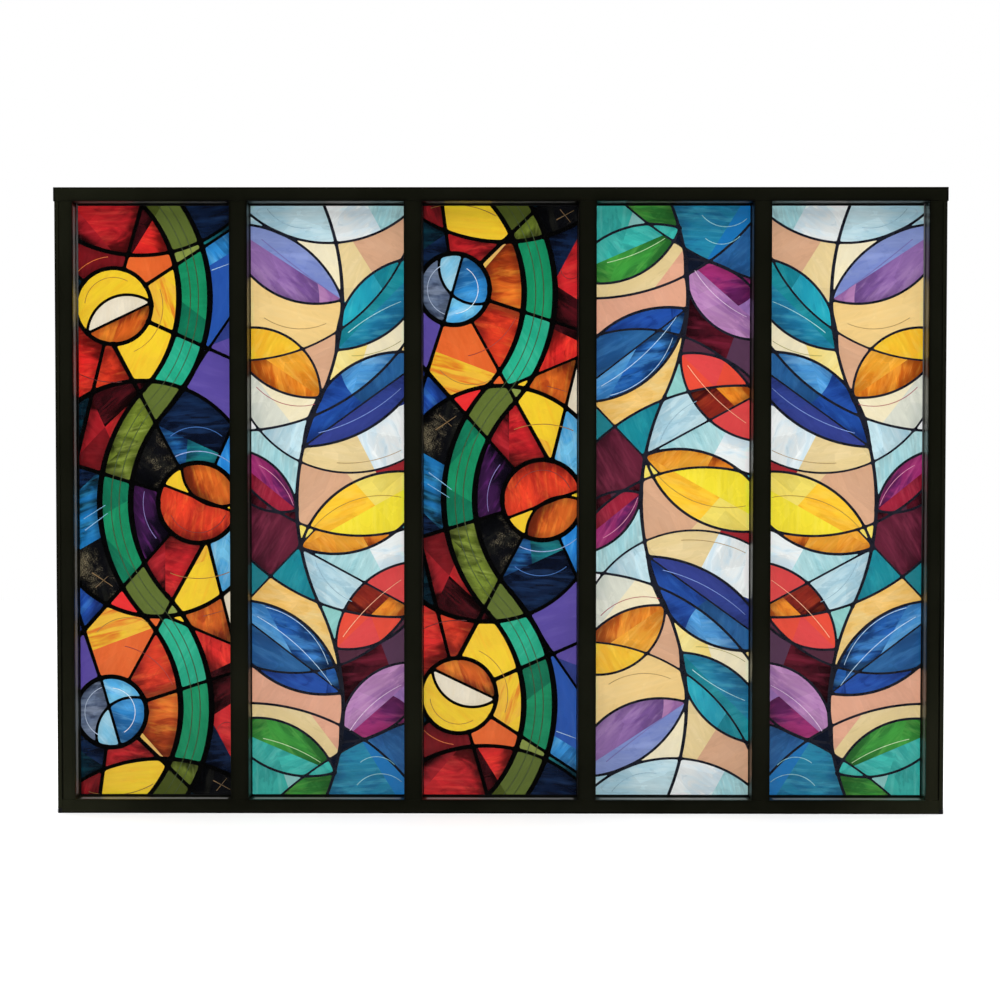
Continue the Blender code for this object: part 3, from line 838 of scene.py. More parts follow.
        paint = {}
        for x, t, name in self.design["seeds"]:
            shard = holding((x, t))
            if shard is None or self.ink[shard]:
                print(f"{self.name}: the seed {x}, {t} {name} lies on a line")
            elif shard in paint:
                print(f"{self.name}: {x}, {t} {name} shares a shard with {paint[shard]}")
            else:
                paint[shard] = name
        sown = list(paint)
        for shard in range(self.shards):
            if self.ink[shard] or shard in paint:
                continue
            gap = [math.dist(centre[shard], centre[s]) for s in sown]
            paint[shard] = paint[sown[int(np.argmin(gap))]]
            if weight[shard] > 60:
                x, t = centre[shard]
                print(f"{self.name}: no seed at {x:.0f}, {t:.0f} ({weight[shard]:.0f} mm2)")
        self.paint = paint


SHEETS = {"one": Sheet("one", ONE), "two": Sheet("two", TWO)}
# Each bay's sheet, and whether it is turned over left to right or top to bottom
BAYS = [
    ("one", False, False),
    ("two", False, False),
    ("one", False, True),
    ("two", False, True),
    ("two", True, False),
]

# -------------------------------------------------------------- shader helpers


class Nodes:
    """Short words for building a material's nodes."""

    def __init__(self, name):
        self.material = bpy.data.materials.new(name)
        self.material.use_nodes = True
        self.tree = self.material.node_tree
        self.shader = self.tree.nodes["Principled BSDF"]

    def add(self, kind, **settings):
        node = self.tree.nodes.new("ShaderNode" + kind)
        for key, value in settings.items():
            setattr(node, key, value)
        return node

    def put(self, socket, value):
        if isinstance(value, bpy.types.NodeSocket):
            self.tree.links.new(value, socket)
        elif value is not None:
            socket.default_value = value

    def math(self, operation, a, b=None, c=None, clamp=False):
        node = self.add("Math", operation=operation, use_clamp=clamp)
        for socket, value in zip(node.inputs, (a, b, c)):
            self.put(socket, value)
        return node.outputs[0]

    def vector(self, operation, a, b=None):
        node = self.add("VectorMath", operation=operation)
        self.put(node.inputs[0], a)
        self.put(node.inputs[1], b)
        return node.outputs[0]

    def smooth(self, value, low, high, to_low=0.0, to_high=1.0):
        node = self.add("MapRange", interpolation_type="SMOOTHSTEP")
        for k, v in enumerate((value, low, high, to_low, to_high)):
            self.put(node.inputs[k], v)
        return node.outputs[0]

    def noise(self, vector, scale=1.0, detail=3.0, rough=0.5, bend=0.0, two=False):
        node = self.add("TexNoise", noise_dimensions="2D" if two else "3D")
        self.put(node.inputs["Vector"], vector)
        self.put(node.inputs["Scale"], scale)
        self.put(node.inputs["Detail"], detail)
        self.put(node.inputs["Roughness"], rough)
        self.put(node.inputs["Distortion"], bend)
        return node.outputs["Fac"]

    def mix(self, factor, a, b, how="MIX"):
        node = self.add("Mix", data_type="RGBA", blend_type=how)
        self.put(node.inputs[0], factor)
        self.put(node.inputs[6], a)
        self.put(node.inputs[7], b)
        return node.outputs[2]

    def attribute(self, name, output="Color"):
        return self.add("Attribute", attribute_name=name).outputs[output]

    def bump(self, height, strength, distance):
        node = self.add("Bump")
        self.put(node.inputs["Strength"], strength)
        self.put(node.inputs["Distance"], distance)
        self.put(node.inputs["Height"], height)
        self.put(self.shader.inputs["Normal"], node.outputs["Normal"])
        return node.outputs["Normal"]

    def set(self, **values):
        for key, value in values.items():
            self.put(self.shader.inputs[key.replace("_", " ")], value)
        return self.material


def rgba(colour, gain=1.0):
    return (*(c * gain for c in colour), 1.0)


# ------------------------------------------------------------- the print's paint


def print_material():
    n = Nodes("printed_film")
    place = n.attribute("place", "Vector")  # in 100 mm, on the sheet
    spot = n.attribute("spot", "Vector")  # each shard's own offset and turn
    parts = n.add("SeparateXYZ")
    n.put(parts.inputs[0], spot)
    shift = n.add("CombineXYZ")
    n.put(shift.inputs[0], parts.outputs[0])
    n.put(shift.inputs[1], parts.outputs[1])
    turned = n.add("VectorRotate", rotation_type="Z_AXIS")
    n.put(turned.inputs["Vector"], n.vector("ADD", place, shift.outputs[0]))
    n.put(turned.inputs["Angle"], parts.outputs[2])
    brush = turned.outputs[0]

    def along(x, y):
        return n.vector("MULTIPLY", brush, (x, y, 1.0))

    wash = n.noise(along(1.5, 3.4), 1.0, 4.0, 0.56, 1.1)
    sweep = n.noise(along(0.8, 6.5), 1.0, 3.0, 0.55, 0.7)
    stroke = n.noise(along(2.0, 9.0), 1.0, 3.0, 0.55, 0.6)
    bristle = n.noise(along(2.2, 21.0), 1.0, 3.0, 0.55, 0.25)
    grain = n.noise(along(60.0, 60.0), 1.0, 2.0, 0.5, 0.0)

    facets = n.add("TexVoronoi", voronoi_dimensions="2D", feature="F1")
    n.put(facets.inputs["Vector"], along(1.5, 2.4))
    n.put(facets.inputs["Scale"], 1.0)
    tone = n.add("SeparateColor")
    n.put(tone.inputs[0], facets.outputs["Color"])

    look = n.add("SeparateColor")
    look_in = n.add("Attribute", attribute_name="look")
    n.put(look.inputs[0], look_in.outputs["Color"])
    streak, facet, fleck = look.outputs[0], look.outputs[1], look.outputs[2]
    shade = look_in.outputs["Alpha"]
    edge, grad = n.attribute("edge", "Fac"), n.attribute("grad", "Fac")

    a = n.add("Attribute", attribute_name="paint_a")
    b = n.add("Attribute", attribute_name="paint_b")
    c = n.add("Attribute", attribute_name="paint_c")

    # the second colour in soft washes, the accent in strokes along sweeps
    drift = n.math("ADD", n.math("MULTIPLY", wash, 2.0), n.math("MULTIPLY", grad, 0.7))
    washed = n.math("MULTIPLY", n.smooth(drift, 1.12, 1.62), b.outputs["Alpha"])
    colour = n.mix(washed, a.outputs["Color"], b.outputs["Color"])
    lit = n.math("ADD", n.math("MULTIPLY", sweep, 0.62), n.math("MULTIPLY", stroke, 0.38))
    touched = n.math("MULTIPLY", n.smooth(lit, 0.47, 0.64), c.outputs["Alpha"])
    colour = n.mix(touched, colour, c.outputs["Color"])

    # brightness: flat facets with soft insides, bands of paint with one sharp
    # side, bristle marks, a rim darker towards the lines, and shade at one end
    level = n.math("SUBTRACT", tone.outputs[0], 0.5)
    level = n.math("ADD", level, n.math("MULTIPLY", facets.outputs["Distance"], 0.35))
    band = n.math("FRACT", n.math("MULTIPLY", wash, 5.0))
    level = n.math("ADD", level, n.math("MULTIPLY", n.math("SUBTRACT", band, 0.5), 0.55))
    level = n.math("MULTIPLY", level, n.math("MULTIPLY", facet, 2.0))
    marks = n.math("MULTIPLY", n.math("SUBTRACT", bristle, 0.5), streak)
    level = n.math("ADD", level, n.math("MULTIPLY", marks, 1.15))
    level = n.math("ADD", level, n.math("MULTIPLY", n.math("SUBTRACT", grain, 0.5), 0.05))
    near = n.math("ADD", edge, n.math("MULTIPLY", n.math("SUBTRACT", wash, 0.5), 18.0))
    rim = n.smooth(near, 0.0, 14.0, 1.0, 0.0)
    rim = n.math("MULTIPLY", rim, a.outputs["Alpha"])
    level = n.math("ADD", 1.0, level)
    level = n.math("MULTIPLY", level, n.math("SUBTRACT", 1.0, n.math("MULTIPLY", rim, 0.85)))
    fall = n.math("ADD", grad, n.math("MULTIPLY", n.math("SUBTRACT", wash, 0.5), 1.3))
    fall = n.math("SUBTRACT", fall, n.math("MULTIPLY", n.smooth(edge, 2.0, 22.0), 0.22))
    fall = n.math("MULTIPLY", n.smooth(fall, 0.40, 0.98), shade)
    level = n.math("MULTIPLY", level, n.math("SUBTRACT", 1.0, n.math("MULTIPLY", fall, 0.92)))
    # lighter print beside the frame, to make up for the shade of the reveals
    point = n.add("SeparateXYZ")
    n.put(point.inputs[0], place)
    for along_side, size in ((point.outputs[0], 2.69), (point.outputs[1], 10.306)):
        inset = n.math("MINIMUM", along_side, n.math("SUBTRACT", size, along_side))
        lift = n.math("ADD", n.smooth(inset, 0.0, 0.14, 1.22, 1.0), n.smooth(inset, 0.0, 0.40, 0.24, 0.0))
        level = n.math("MULTIPLY", level, lift)
    grey = n.add("CombineColor")
    for socket in grey.inputs:
        n.put(socket, level)
    colour = n.mix(1.0, colour, grey.outputs[0], "MULTIPLY")
    colour.node.clamp_result = True

    # gilt dust thrown over the darkest shards
    cloud = n.noise(n.vector("MULTIPLY", place, (1.5, 1.5, 1.0)), 1.0, 4.0, 0.6, 0.25)
    dust = n.noise(n.vector("MULTIPLY", place, (46.0, 46.0, 1.0)), 1.0, 3.0, 0.75)
    dust = n.smooth(n.math("ADD", dust, n.math("MULTIPLY", cloud, 0.8)), 0.88, 1.14)
    thrown = n.math("MULTIPLY", n.math("MULTIPLY", dust, fleck), n.smooth(cloud, 0.46, 0.70))
    colour = n.mix(n.math("MULTIPLY", thrown, 0.75), colour, rgba(linear("b3a480")))

    n.bump(stroke, 0.12, 0.0004)
    rough = n.smooth(bristle, 0.3, 0.7, 0.20, 0.27)
    return n.set(Base_Color=colour, Roughness=rough, IOR=1.5)


def ink_material(name, code):
    n = Nodes(name)
    place = n.attribute("place", "Vector")
    wash = n.noise(n.vector("MULTIPLY", place, (5.0, 5.0, 1.0)), 1.0, 4.0, 0.6, 0.3)
    fine = n.noise(n.vector("MULTIPLY", place, (70.0, 70.0, 1.0)), 1.0, 2.0, 0.5)
    base = linear(code)
    colour = n.mix(n.smooth(wash, 0.35, 0.7), rgba(base, 0.75), rgba(base, 1.25))
    n.bump(fine, 0.15, 0.0002)
    rough = n.smooth(wash, 0.3, 0.7, 0.24, 0.34)
    return n.set(Base_Color=colour, Roughness=rough, IOR=1.5)


def hair_material():
    n = Nodes("hair_lines")
    place = n.attribute("place", "Vector")
    a = n.add("Attribute", attribute_name="paint_a")
    broken = n.noise(n.vector("MULTIPLY", place, (22.0, 22.0, 1.0)), 1.0, 3.0, 0.6)
    colour = n.mix(
        n.smooth(broken, 0.35, 0.65),
        n.mix(0.35, a.outputs["Color"], rgba((0.1, 0.1, 0.1))),
        a.outputs["Color"],
    )
    return n.set(Base_Color=colour, Roughness=0.3, IOR=1.5)


# ------------------------------------------------------------- the print's pieces


def placed(points, bay, face, lift=0.0):
    """Points on the sheet, in mm, as points in space for one bay and face."""
    name, across, down = BAYS[bay]
    x, t = points[:, 0] * MM, points[:, 1] * MM
    if across:
        x = CLEAR_WIDTH - x
    if down:
        t = CLEAR_HEIGHT - t
    if face == "front":
        y = GLASS_FRONT - FILM_GAP - lift
    else:
        y = GLASS_BACK + FILM_GAP + lift
    out = np.empty((len(points), 3))
    out[:, 0] = BAY_CENTRES[bay] - CLEAR_WIDTH / 2 + x
    out[:, 1] = y
    out[:, 2] = OPENING_HIGH - t
    return out


def flipped(bay, face):
    """Whether triangles must be turned so that they face outwards."""
    _, across, down = BAYS[bay]
    turn = across != down
    # x to the right and t downwards: counted clockwise seen from the front
    return turn if face == "front" else not turn


def mesh_piece(name, verts, faces, sheet_points, material, corner=None, point=None):
    mesh = bpy.data.meshes.new(name)
    mesh.from_pydata(verts.tolist(), [], [tuple(f) for f in faces])
    place = np.zeros((len(verts), 3))
    place[:, :2] = sheet_points / 100.0
    layer = mesh.attributes.new("place", "FLOAT_VECTOR", "POINT")
    layer.data.foreach_set("vector", place.astype(np.float32).ravel())
    for key, values in (point or {}).items():
        layer = mesh.attributes.new(key, "FLOAT", "POINT")
        layer.data.foreach_set("value", values.astype(np.float32))
    for key, values in (corner or {}).items():
        if values.shape[1] == 1:
            layer = mesh.attributes.new(key, "FLOAT", "CORNER")
            layer.data.foreach_set("value", values.astype(np.float32).ravel())
        elif values.shape[1] == 4:
            layer = mesh.attributes.new(key, "FLOAT_COLOR", "CORNER")
            layer.data.foreach_set("color", values.astype(np.float32).ravel())
        else:
            layer = mesh.attributes.new(key, "FLOAT_VECTOR", "CORNER")
            layer.data.foreach_set("vector", values.astype(np.float32).ravel())
    mesh.materials.append(material)
    mesh.update()
    ob = bpy.data.objects.new(name, mesh)
    bpy.context.scene.collection.objects.link(ob)
    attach(ob, "root")
    return ob


def film_piece(bay, face, material):
    sheet = SHEETS[BAYS[bay][0]]
    tris = sheet.tris if not flipped(bay, face) else sheet.tris[:, ::-1]
    ink = linear(sheet.design["ink"])
    rng = np.random.default_rng(11 if sheet.name == "one" else 12)
    drift = rng.uniform(0, 40, (sheet.shards, 2))
    turn = rng.uniform(0, math.pi, sheet.shards)
    rows = {key: np.zeros((sheet.shards, 4)) for key in ("a", "b", "c", "look")}
    for shard in range(sheet.shards):
        if sheet.ink[shard]:
            for key in ("a", "b", "c"):
                rows[key][shard, :3] = ink
            continue
        one, two, three, rim, mottle, touch, streak, facet, fleck, shade = PAINTS[
            sheet.paint[shard]
        ]
        one, two, three = (np.array(linear(c)) * sheet.design["gain"] for c in (one, two, three))
        rows["a"][shard] = (*one, rim)
        rows["b"][shard] = (*two, mottle)
        rows["c"][shard] = (*three, touch)
        rows["look"][shard] = (streak, facet, fleck, shade)
        if streak >= 0.6:
            turn[shard] = 0.06
    per_face = sheet.shard
    # how far along its shard each corner lies, for a wash from end to end
    lean = rng.uniform(0, math.tau, sheet.shards)[sheet.shard]
    at = sheet.verts[tris]
    run = at[:, :, 0] * np.cos(lean)[:, None] + at[:, :, 1] * np.sin(lean)[:, None]
    low, high = np.full(sheet.shards, 1e9), np.full(sheet.shards, -1e9)
    np.minimum.at(low, sheet.shard, run.min(1))
    np.maximum.at(high, sheet.shard, run.max(1))
    span = np.maximum(high - low, 1.0)[sheet.shard][:, None]
    along = (run - low[sheet.shard][:, None]) / span
    corner = {
        "paint_a": np.repeat(rows["a"][per_face], 3, 0),
        "paint_b": np.repeat(rows["b"][per_face], 3, 0),
        "paint_c": np.repeat(rows["c"][per_face], 3, 0),
        "look": np.repeat(rows["look"][per_face], 3, 0),
        "spot": np.repeat(np.column_stack([drift, turn])[per_face], 3, 0),
        "grad": along.reshape(-1, 1),
    }
    return mesh_piece(
        f"print_{face}_{bay + 1}",
        placed(sheet.verts, bay, face),
        tris,
        sheet.verts,
        material,
        corner,
        {"edge": sheet.near},
    )


def ink_piece(bay, face, material):
    """The drawn lines, a little proud of the film, with their own edges."""
    sheet = SHEETS[BAYS[bay][0]]
    tris = sheet.tris[sheet.ink[sheet.shard]]
    used, small = np.unique(tris, return_inverse=True)
    small = small.reshape(-1, 3)
    points = sheet.verts[used]
    count = {}
    for tri in small.tolist():
        for k in range(3):
            a, b = tri[k], tri[(k + 1) % 3]
            count[(a, b)] = count.get((a, b), 0) + 1
    rim = [e for e in count if (e[1], e[0]) not in count]
    top = placed(points, bay, face, INK_RISE)
    foot = placed(points, bay, face, 0.02 * MM)
    shift = len(points)
    faces = small.tolist()
    walls = [(b, a, a + shift, b + shift) for a, b in rim]
    if flipped(bay, face):
        faces = [f[::-1] for f in faces]
        walls = [w[::-1] for w in walls]
    return mesh_piece(
        f"ink_{face}_{bay + 1}",
        np.vstack([top, foot]),
        faces + walls,
        np.vstack([points, points]),
        material,
    )


def hair_piece(bay, face, material):
    sheet = SHEETS[BAYS[bay][0]]
    points, faces, colours = [], [], []
    for hair in sheet.design["hairs"]:
        code, curve = hair[-1], hair[:-1]
        line, half = sampled(curve, 4.0)
        keep = [self_in(p) for p in line]
        for run in runs(keep):
            seg, wide = line[run], half[run]
            if len(seg) < 2:
                continue
            way = np.gradient(seg, axis=0)
            way /= np.maximum(np.hypot(*way.T), 1e-9)[:, None]
            side = np.stack([-way[:, 1], way[:, 0]], 1) * wide[:, None]
            first = len(points)
            points.extend(seg + side)
            points.extend(seg - side)
            m = len(seg)
            for k in range(m - 1):
                faces.append(
                    (first + k, first + k + 1, first + m + k + 1, first + m + k)
                )
                colours.append(code)
    points = np.array(points)
    a, b, c = (points[[f[k] for f in faces]] for k in range(3))
    area = (b[:, 0] - a[:, 0]) * (c[:, 1] - a[:, 1]) - (b[:, 1] - a[:, 1]) * (
        c[:, 0] - a[:, 0]
    )
    turn = flipped(bay, face)
    faces = [f[::-1] if (s < 0) != turn else f for f, s in zip(faces, area)]
    tint = np.array([[*linear(code), 1.0] for code in colours])
    return mesh_piece(
        f"hairs_{face}_{bay + 1}",
        placed(points, bay, face, INK_RISE + 0.03 * MM),
        faces,
        points,
        material,
        {"paint_a": np.repeat(tint, 4, 0)},
    )


def self_in(p):
    x0, x1, t0, t1 = SHEET
    return x0 < p[0] < x1 and t0 < p[1] < t1


def runs(keep):
    """Slices of the stretches that are true."""
    out, start = [], None
    for k, yes in enumerate(list(keep) + [False]):
        if yes and start is None:
            start = k
        elif not yes and start is not None:
            out.append(slice(start, k))
            start = None
    return out


film = print_material()
hair = hair_material()
inks = {name: ink_material("ink_" + name, s.design["ink"]) for name, s in SHEETS.items()}
for bay in range(5):
    for face in ("front", "back"):
        film_piece(bay, face, film)
        ink_piece(bay, face, inks[BAYS[bay][0]])
        if SHEETS[BAYS[bay][0]].design["hairs"]:
            hair_piece(bay, face, hair)

# --------------------------------------------------------------- the CAD's finishes


def powder_coat(name, base, reveal=0.0, upright=True, seam_shadow=False, strip=None):
    """Fine satin powder coat. The rounded edges and the corners hold less
    light, and the front part of a reveal catches it, so it is a paler grey."""
    n = Nodes(name)
    where = n.add("TexCoord").outputs["Object"]
    grain = n.noise(where, 2600.0, 2.0, 0.6)
    cloud = n.noise(where, 9.0, 3.0, 0.55)
    dust = n.noise(where, 240.0, 2.0, 0.5)
    dark = n.mix(n.smooth(cloud, 0.3, 0.7), rgba(base, 0.88), rgba(base, 1.12))
    dark = n.mix(n.math("MULTIPLY", n.smooth(dust, 0.62, 0.75), 0.3), dark, rgba(base, 1.9))

    spot = n.add("SeparateXYZ")
    n.put(spot.inputs[0], where)
    out = n.math("ABSOLUTE", spot.outputs[0])
    z = spot.outputs[2]
    # from the middle of the nearest bay, from the openings, from the outer edge
    across = n.math("PINGPONG", out, 0.15)
    across = n.math("MAXIMUM", across, n.math("SUBTRACT", out, 0.6))
    low, high = n.math("SUBTRACT", OPENING_LOW, z), n.math("SUBTRACT", z, OPENING_HIGH)
    inner = n.math("SUBTRACT", across, CLEAR_WIDTH / 2)
    inner = n.math("MAXIMUM", inner, n.math("MAXIMUM", low, high))
    ends = n.math("MINIMUM", z, n.math("SUBTRACT", 1.078, z))
    side = n.math("SUBTRACT", 0.765, out)
    outer = n.math("MINIMUM", ends, side)
    # painted shade: darker within 8 mm of the openings, and darker still at the very edge of an opening higher
    # up
    level = n.smooth(inner, 0.0012, 0.0080, 0.58, 1.0)
    lip = n.math("MULTIPLY", n.smooth(inner, 0.0010, 0.0024, 1.0, 0.0), n.smooth(z, 0.45, 0.85))
    level = n.math("MULTIPLY", level, n.math("SUBTRACT", 1.0, n.math("MULTIPLY", lip, 0.7)))
    # painted shade: darker along the rounded outer edges, at the sides only above the lowest part
    rim = n.math("MULTIPLY", n.smooth(side, 0.0008, 0.0024, 1.0, 0.0), n.smooth(z, 0.12, 0.32))
    rim = n.math("MAXIMUM", rim, n.smooth(ends, 0.0022, 0.0036, 1.0, 0.0))
    level = n.math("MULTIPLY", level, n.math("SUBTRACT", 1.0, n.math("MULTIPLY", rim, 0.93)))
    # painted highlight: a lighter line about 3.4 to 7.2 mm in from the outer edges
    painted_glint = n.math(
        "MULTIPLY", n.smooth(outer, 0.0034, 0.0044), n.smooth(outer, 0.0056, 0.0072, 1.0, 0.0)
    )
    level = n.math("ADD", level, n.math("MULTIPLY", painted_glint, 0.35))
    # painted light: lighter low down towards the outer ends
    foot = n.math("MULTIPLY", n.smooth(z, 0.04, 0.32, 1.0, 0.0), n.smooth(out, 0.48, 0.73))
    level = n.math("ADD", level, n.math("MULTIPLY", foot, 0.75))
    # painted light: lighter in a band low down, between about 5 and 36 cm up
    painted_low_band = n.math("MULTIPLY", n.smooth(z, 0.20, 0.36, 1.0, 0.0), n.smooth(z, 0.05, 0.14))
    level = n.math("ADD", level, n.math("MULTIPLY", painted_low_band, 0.35))
    # painted light: lighter at the top of the left end
    painted_top_left_light = n.math("MULTIPLY", n.smooth(z, 0.86, 1.05), n.smooth(spot.outputs[0], -0.68, -0.52, 1.0, 0.0))
    level = n.math("ADD", level, n.math("MULTIPLY", painted_top_left_light, 0.6))
    # painted shade: darker towards the top
    level = n.math("MULTIPLY", level, n.smooth(z, 0.72, 1.0, 1.0, 0.80))
    # painted light: lighter still at the very bottom of the outer ends
    painted_sole_light = n.math("MULTIPLY", n.smooth(z, 0.03, 0.14, 1.0, 0.0), n.smooth(out, 0.60, 0.75))
    level = n.math("ADD", level, n.math("MULTIPLY", painted_sole_light, 0.6))
    # painted shadow along the seam between a stile and its channel, fading out higher up
    if seam_shadow:
        seam_shadow_mask = n.math("ABSOLUTE", n.math("SUBTRACT", out, 0.7566))
        seam_shadow_mask = n.math("MULTIPLY", n.smooth(seam_shadow_mask, 0.0008, 0.0020, 1.0, 0.0), n.smooth(z, 0.26, 0.46, 1.0, 0.15))
        level = n.math("MULTIPLY", level, n.math("SUBTRACT", 1.0, n.math("MULTIPLY", seam_shadow_mask, 0.8)))
    grey = n.add("CombineColor")
    for socket in grey.inputs:
        n.put(socket, level)
    colour = n.mix(1.0, dark, grey.outputs[0], "MULTIPLY")
    # painted reflection: the front part of each reveal wall is mixed towards a paler grey where it would catch
    # the light, and faded out near the corners as painted shade
    if reveal:
        geometry = n.add("NewGeometry")
        facing = n.add("SeparateXYZ")
        n.put(facing.inputs[0], geometry.outputs["True Normal"])
        wall = n.math("LESS_THAN", n.math("ABSOLUTE", facing.outputs[1]), 0.3)
        wall = n.math("MULTIPLY", wall, n.smooth(inner, 0.0010, 0.0030, 1.0, 0.0))
        depth = n.math("MULTIPLY", spot.outputs[1], 1000.0)
        band = n.smooth(depth, -11.6, -9.0, 1.0, 0.0)
        band = n.math("MULTIPLY", band, n.smooth(depth, -21.8, -18.8))
        if upright:
            corner = n.math("MAXIMUM", low, high)
        else:
            corner = n.math("SUBTRACT", across, CLEAR_WIDTH / 2)
        band = n.math("MULTIPLY", band, n.smooth(corner, -0.0092, -0.0050, 1.0, 0.03))
        reveal_sheen = n.math("MULTIPLY", n.math("MULTIPLY", wall, band), reveal)
        # painted sheen: a paler strip at the rear of the reveal wall beside the glass, from a given height up,
        # faded near the corners
        if strip:
            rear_sheen = n.math("MULTIPLY", n.smooth(depth, -6.2, -4.4), n.smooth(depth, 2.0, 4.0, 1.0, 0.0))
            rear_sheen = n.math("MULTIPLY", rear_sheen, n.smooth(z, strip[1], strip[2], 0.0, strip[0]))
            rear_sheen = n.math("MULTIPLY", rear_sheen, n.smooth(corner, -0.0060, -0.0030, 1.0, 0.0))
            reveal_sheen = n.math("ADD", reveal_sheen, n.math("MULTIPLY", wall, rear_sheen))
        colour = n.mix(reveal_sheen, colour, rgba((0.30, 0.298, 0.29)))
    rough = n.smooth(cloud, 0.3, 0.7, 0.36, 0.44)
    n.bump(grain, 0.25, 0.00012)
    # the front arrises are worn dull
    front = n.smooth(spot.outputs[1], -0.0228, -0.0205, 1.0, 0.0)
    worn = n.math("MULTIPLY", n.math("MULTIPLY", rim, front), 0.48)
    rough = n.math("ADD", rough, worn)
    return n.set(
        Base_Color=colour, Roughness=rough, IOR=1.5, Specular_Tint=(1.0, 0.99, 0.78, 1.0)
    )


def cap_plastic(name):
    n = Nodes(name)
    where = n.add("TexCoord").outputs["Object"]
    grain = n.noise(where, 1500.0, 2.0, 0.6)
    cloud = n.noise(where, 40.0, 3.0, 0.55)
    colour = n.mix(
        n.smooth(cloud, 0.3, 0.7), rgba((0.0060, 0.0056, 0.0066)), rgba((0.0095, 0.0088, 0.0102))
    )
    n.bump(grain, 0.3, 0.0001)
    return n.set(Base_Color=colour, Roughness=n.smooth(cloud, 0.3, 0.7, 0.45, 0.56))


def rubber(name, side=0.0, strip=None):
    """Matt black rubber. Beside a stile its lip catches the light near the top."""
    n = Nodes(name)
    where = n.add("TexCoord").outputs["Object"]
    grain = n.noise(where, 1800.0, 2.0, 0.6)
    bloom = n.noise(where, 60.0, 3.0, 0.6)
    colour = n.mix(
        n.smooth(bloom, 0.35, 0.75), rgba((0.0022, 0.0022, 0.0024)), rgba((0.0050, 0.0050, 0.0052))
    )
    # painted sheen: a pale grey on the lip beside the stile, fading in from a given height up
    if strip:
        spot = n.add("SeparateXYZ")
        n.put(spot.inputs[0], where)
        pale = n.smooth(n.math("MULTIPLY", spot.outputs[0], side), 0.7324, 0.7331)
        pale = n.math("MULTIPLY", pale, n.smooth(spot.outputs[2], strip[1], strip[2], 0.0, strip[0]))
        colour = n.mix(pale, colour, rgba((0.30, 0.305, 0.31)))
    n.bump(grain, 0.3, 0.0001)
    return n.set(Base_Color=colour, Roughness=n.smooth(bloom, 0.3, 0.7, 0.55, 0.68))


def clear_glass(name):
    n = Nodes(name)
    where = n.add("TexCoord").outputs["Object"]
    wave = n.noise(where, 14.0, 2.0, 0.5)
    smear = n.noise(where, 45.0, 3.0, 0.6)
    n.bump(wave, 0.05, 0.0003)
    return n.set(
        Base_Color=(0.93, 0.97, 0.95, 1.0),
        Roughness=n.smooth(smear, 0.4, 0.8, 0.01, 0.04),
        IOR=1.5,
        Transmission_Weight=1.0,
    )


FRAME = (0.0052, 0.0057, 0.0023)
# how strong the painted reflection is on each part's reveals, more where they face the light
REVEAL_SHEEN = {
    "left_stile": 0.46,
    "right_stile": 0.28,
    "bottom_rail": 0.52,
    "top_rail": 0.25,
    "mullion_1": 0.12,
    "mullion_2": 0.12,
    "mullion_3": 0.12,
    "mullion_4": 0.13,
}
plastic, black_rubber = cap_plastic("black_cap_plastic"), rubber("gasket_rubber")
glass = clear_glass("clear_float_glass")
# the painted sheen, a pale strip beside the two outer panes: how strong, and from what height up
STRIP_SHEEN = {"left_stile": (0.30, 0.78, 0.92), "right_stile": (0.06, 0.35, 1.04)}
lips = {
    "front_gasket_1": rubber("gasket_rubber_left", -1.0, STRIP_SHEEN["left_stile"]),
    "front_gasket_5": rubber("gasket_rubber_right", 1.0, (0.50, 0.35, 1.04)),
}
bead_coat = powder_coat("bead_powder_coat", FRAME)
channel_coat = powder_coat("channel_powder_coat", FRAME, seam_shadow=True)
for name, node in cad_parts.items():
    if name in REVEAL_SHEEN:
        coat = powder_coat(
            name + "_powder_coat",
            FRAME,
            REVEAL_SHEEN[name],
            "rail" not in name,
            "stile" in name,
            STRIP_SHEEN.get(name),
        )
    elif "cap" in name:
        coat = plastic
    elif "gasket" in name:
        coat = lips.get(name, black_rubber)
    elif "glass" in name:
        coat = glass
    elif "channel" in name:
        coat = channel_coat
    else:
        coat = bead_coat
    node.data.materials.clear()
    node.data.materials.append(coat)

# ---------------------------------------------------------- floor, light, camera


def flat_light(name, at, size, power, towards, glossy=False):
    data = bpy.data.lights.new(name, "AREA")
    data.shape = "RECTANGLE"
    data.size, data.size_y = size
    data.energy = power
    ob = bpy.data.objects.new(name, data)
    ob.location = at
    ob.rotation_euler = (Vector(towards) - Vector(at)).to_track_quat("-Z", "Y").to_euler()
    ob.visible_camera = False
    ob.visible_glossy = glossy
    bpy.context.scene.collection.objects.link(ob)
    return ob


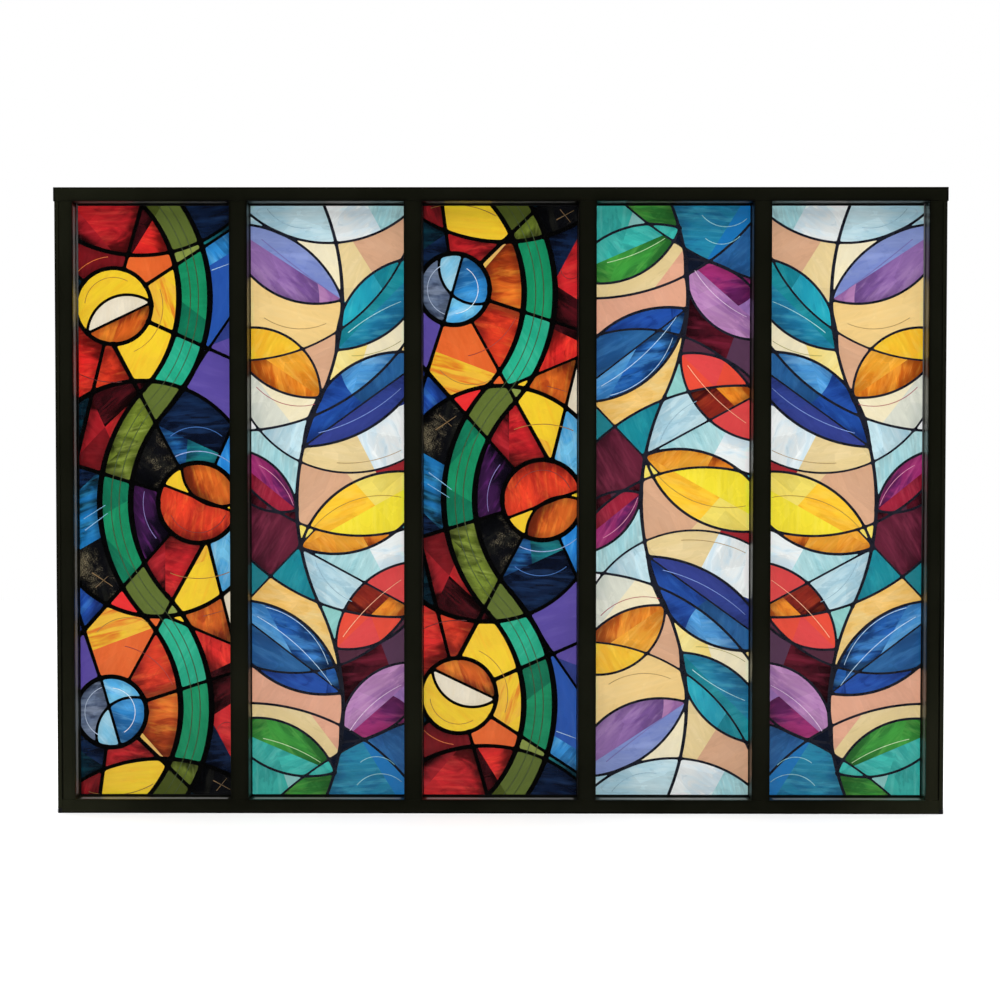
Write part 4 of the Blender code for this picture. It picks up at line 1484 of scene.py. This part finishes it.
world = bpy.data.worlds.new("studio")
bpy.context.scene.world = world
world.use_nodes = True
tree = world.node_tree
background = tree.nodes["Background"]
background.inputs["Color"].default_value = (1.0, 1.0, 1.0, 1.0)
path = tree.nodes.new("ShaderNodeLightPath")
level = tree.nodes.new("ShaderNodeMix")
level.inputs[2].default_value = 0.42  # for light that falls on things
level.inputs[3].default_value = 1.0  # for the backdrop itself
tree.links.new(path.outputs["Is Camera Ray"], level.inputs[0])
# in reflections: dark in front, where the camera stands, and pale to the
# sides, above and behind
ways = tree.nodes.new("ShaderNodeSeparateXYZ")
tree.links.new(tree.nodes.new("ShaderNodeTexCoord").outputs["Generated"], ways.inputs[0])
around = tree.nodes.new("ShaderNodeMapRange")
around.interpolation_type = "SMOOTHSTEP"
for k, value in enumerate((-0.86, 0.10, 0.015, 0.32)):
    around.inputs[k + 1].default_value = value
tree.links.new(ways.outputs[1], around.inputs[0])
gloss = tree.nodes.new("ShaderNodeMix")
tree.links.new(around.outputs[0], gloss.inputs[3])
tree.links.new(path.outputs["Is Glossy Ray"], gloss.inputs[0])
tree.links.new(level.outputs[0], gloss.inputs[2])
tree.links.new(gloss.outputs[0], background.inputs["Strength"])

flat_light("top", (0.0, 0.0, 3.4), (7.0, 7.0), 400.0, (0.0, 0.0, 0.0))

bpy.ops.mesh.primitive_plane_add(size=7.0, location=(0.0, 0.0, 0.0))
floor = bpy.context.active_object
floor.name = "studio_floor"
n = Nodes("studio_floor_paint")
where = n.add("TexCoord").outputs["Object"]
n.set(
    Base_Color=n.mix(n.noise(where, 1.2, 3.0, 0.5), rgba((0.90, 0.90, 0.90)), rgba((0.94, 0.94, 0.94))),
    Roughness=0.9,
    Specular_IOR_Level=0.0,
)
floor.data.materials.append(n.material)
floor.visible_glossy = False

camera_data = bpy.data.cameras.new("camera")
camera_data.sensor_width = 36.0
camera_data.lens = 42.629
camera_data.clip_start = 0.05
camera_data.clip_end = 200.0
camera = bpy.data.objects.new("camera", camera_data)
camera.location = (0.00683, -2.06109, 0.58029)
camera.rotation_euler = (
    Matrix.Rotation(math.radians(0.19866), 3, "Z")
    @ Matrix.Rotation(math.radians(90 - 1.07271), 3, "X")
    @ Matrix.Rotation(math.radians(0.02878), 3, "Z")
).to_euler()
bpy.context.scene.collection.objects.link(camera)
bpy.context.scene.camera = camera
bpy.context.scene.view_settings.view_transform = "Standard"
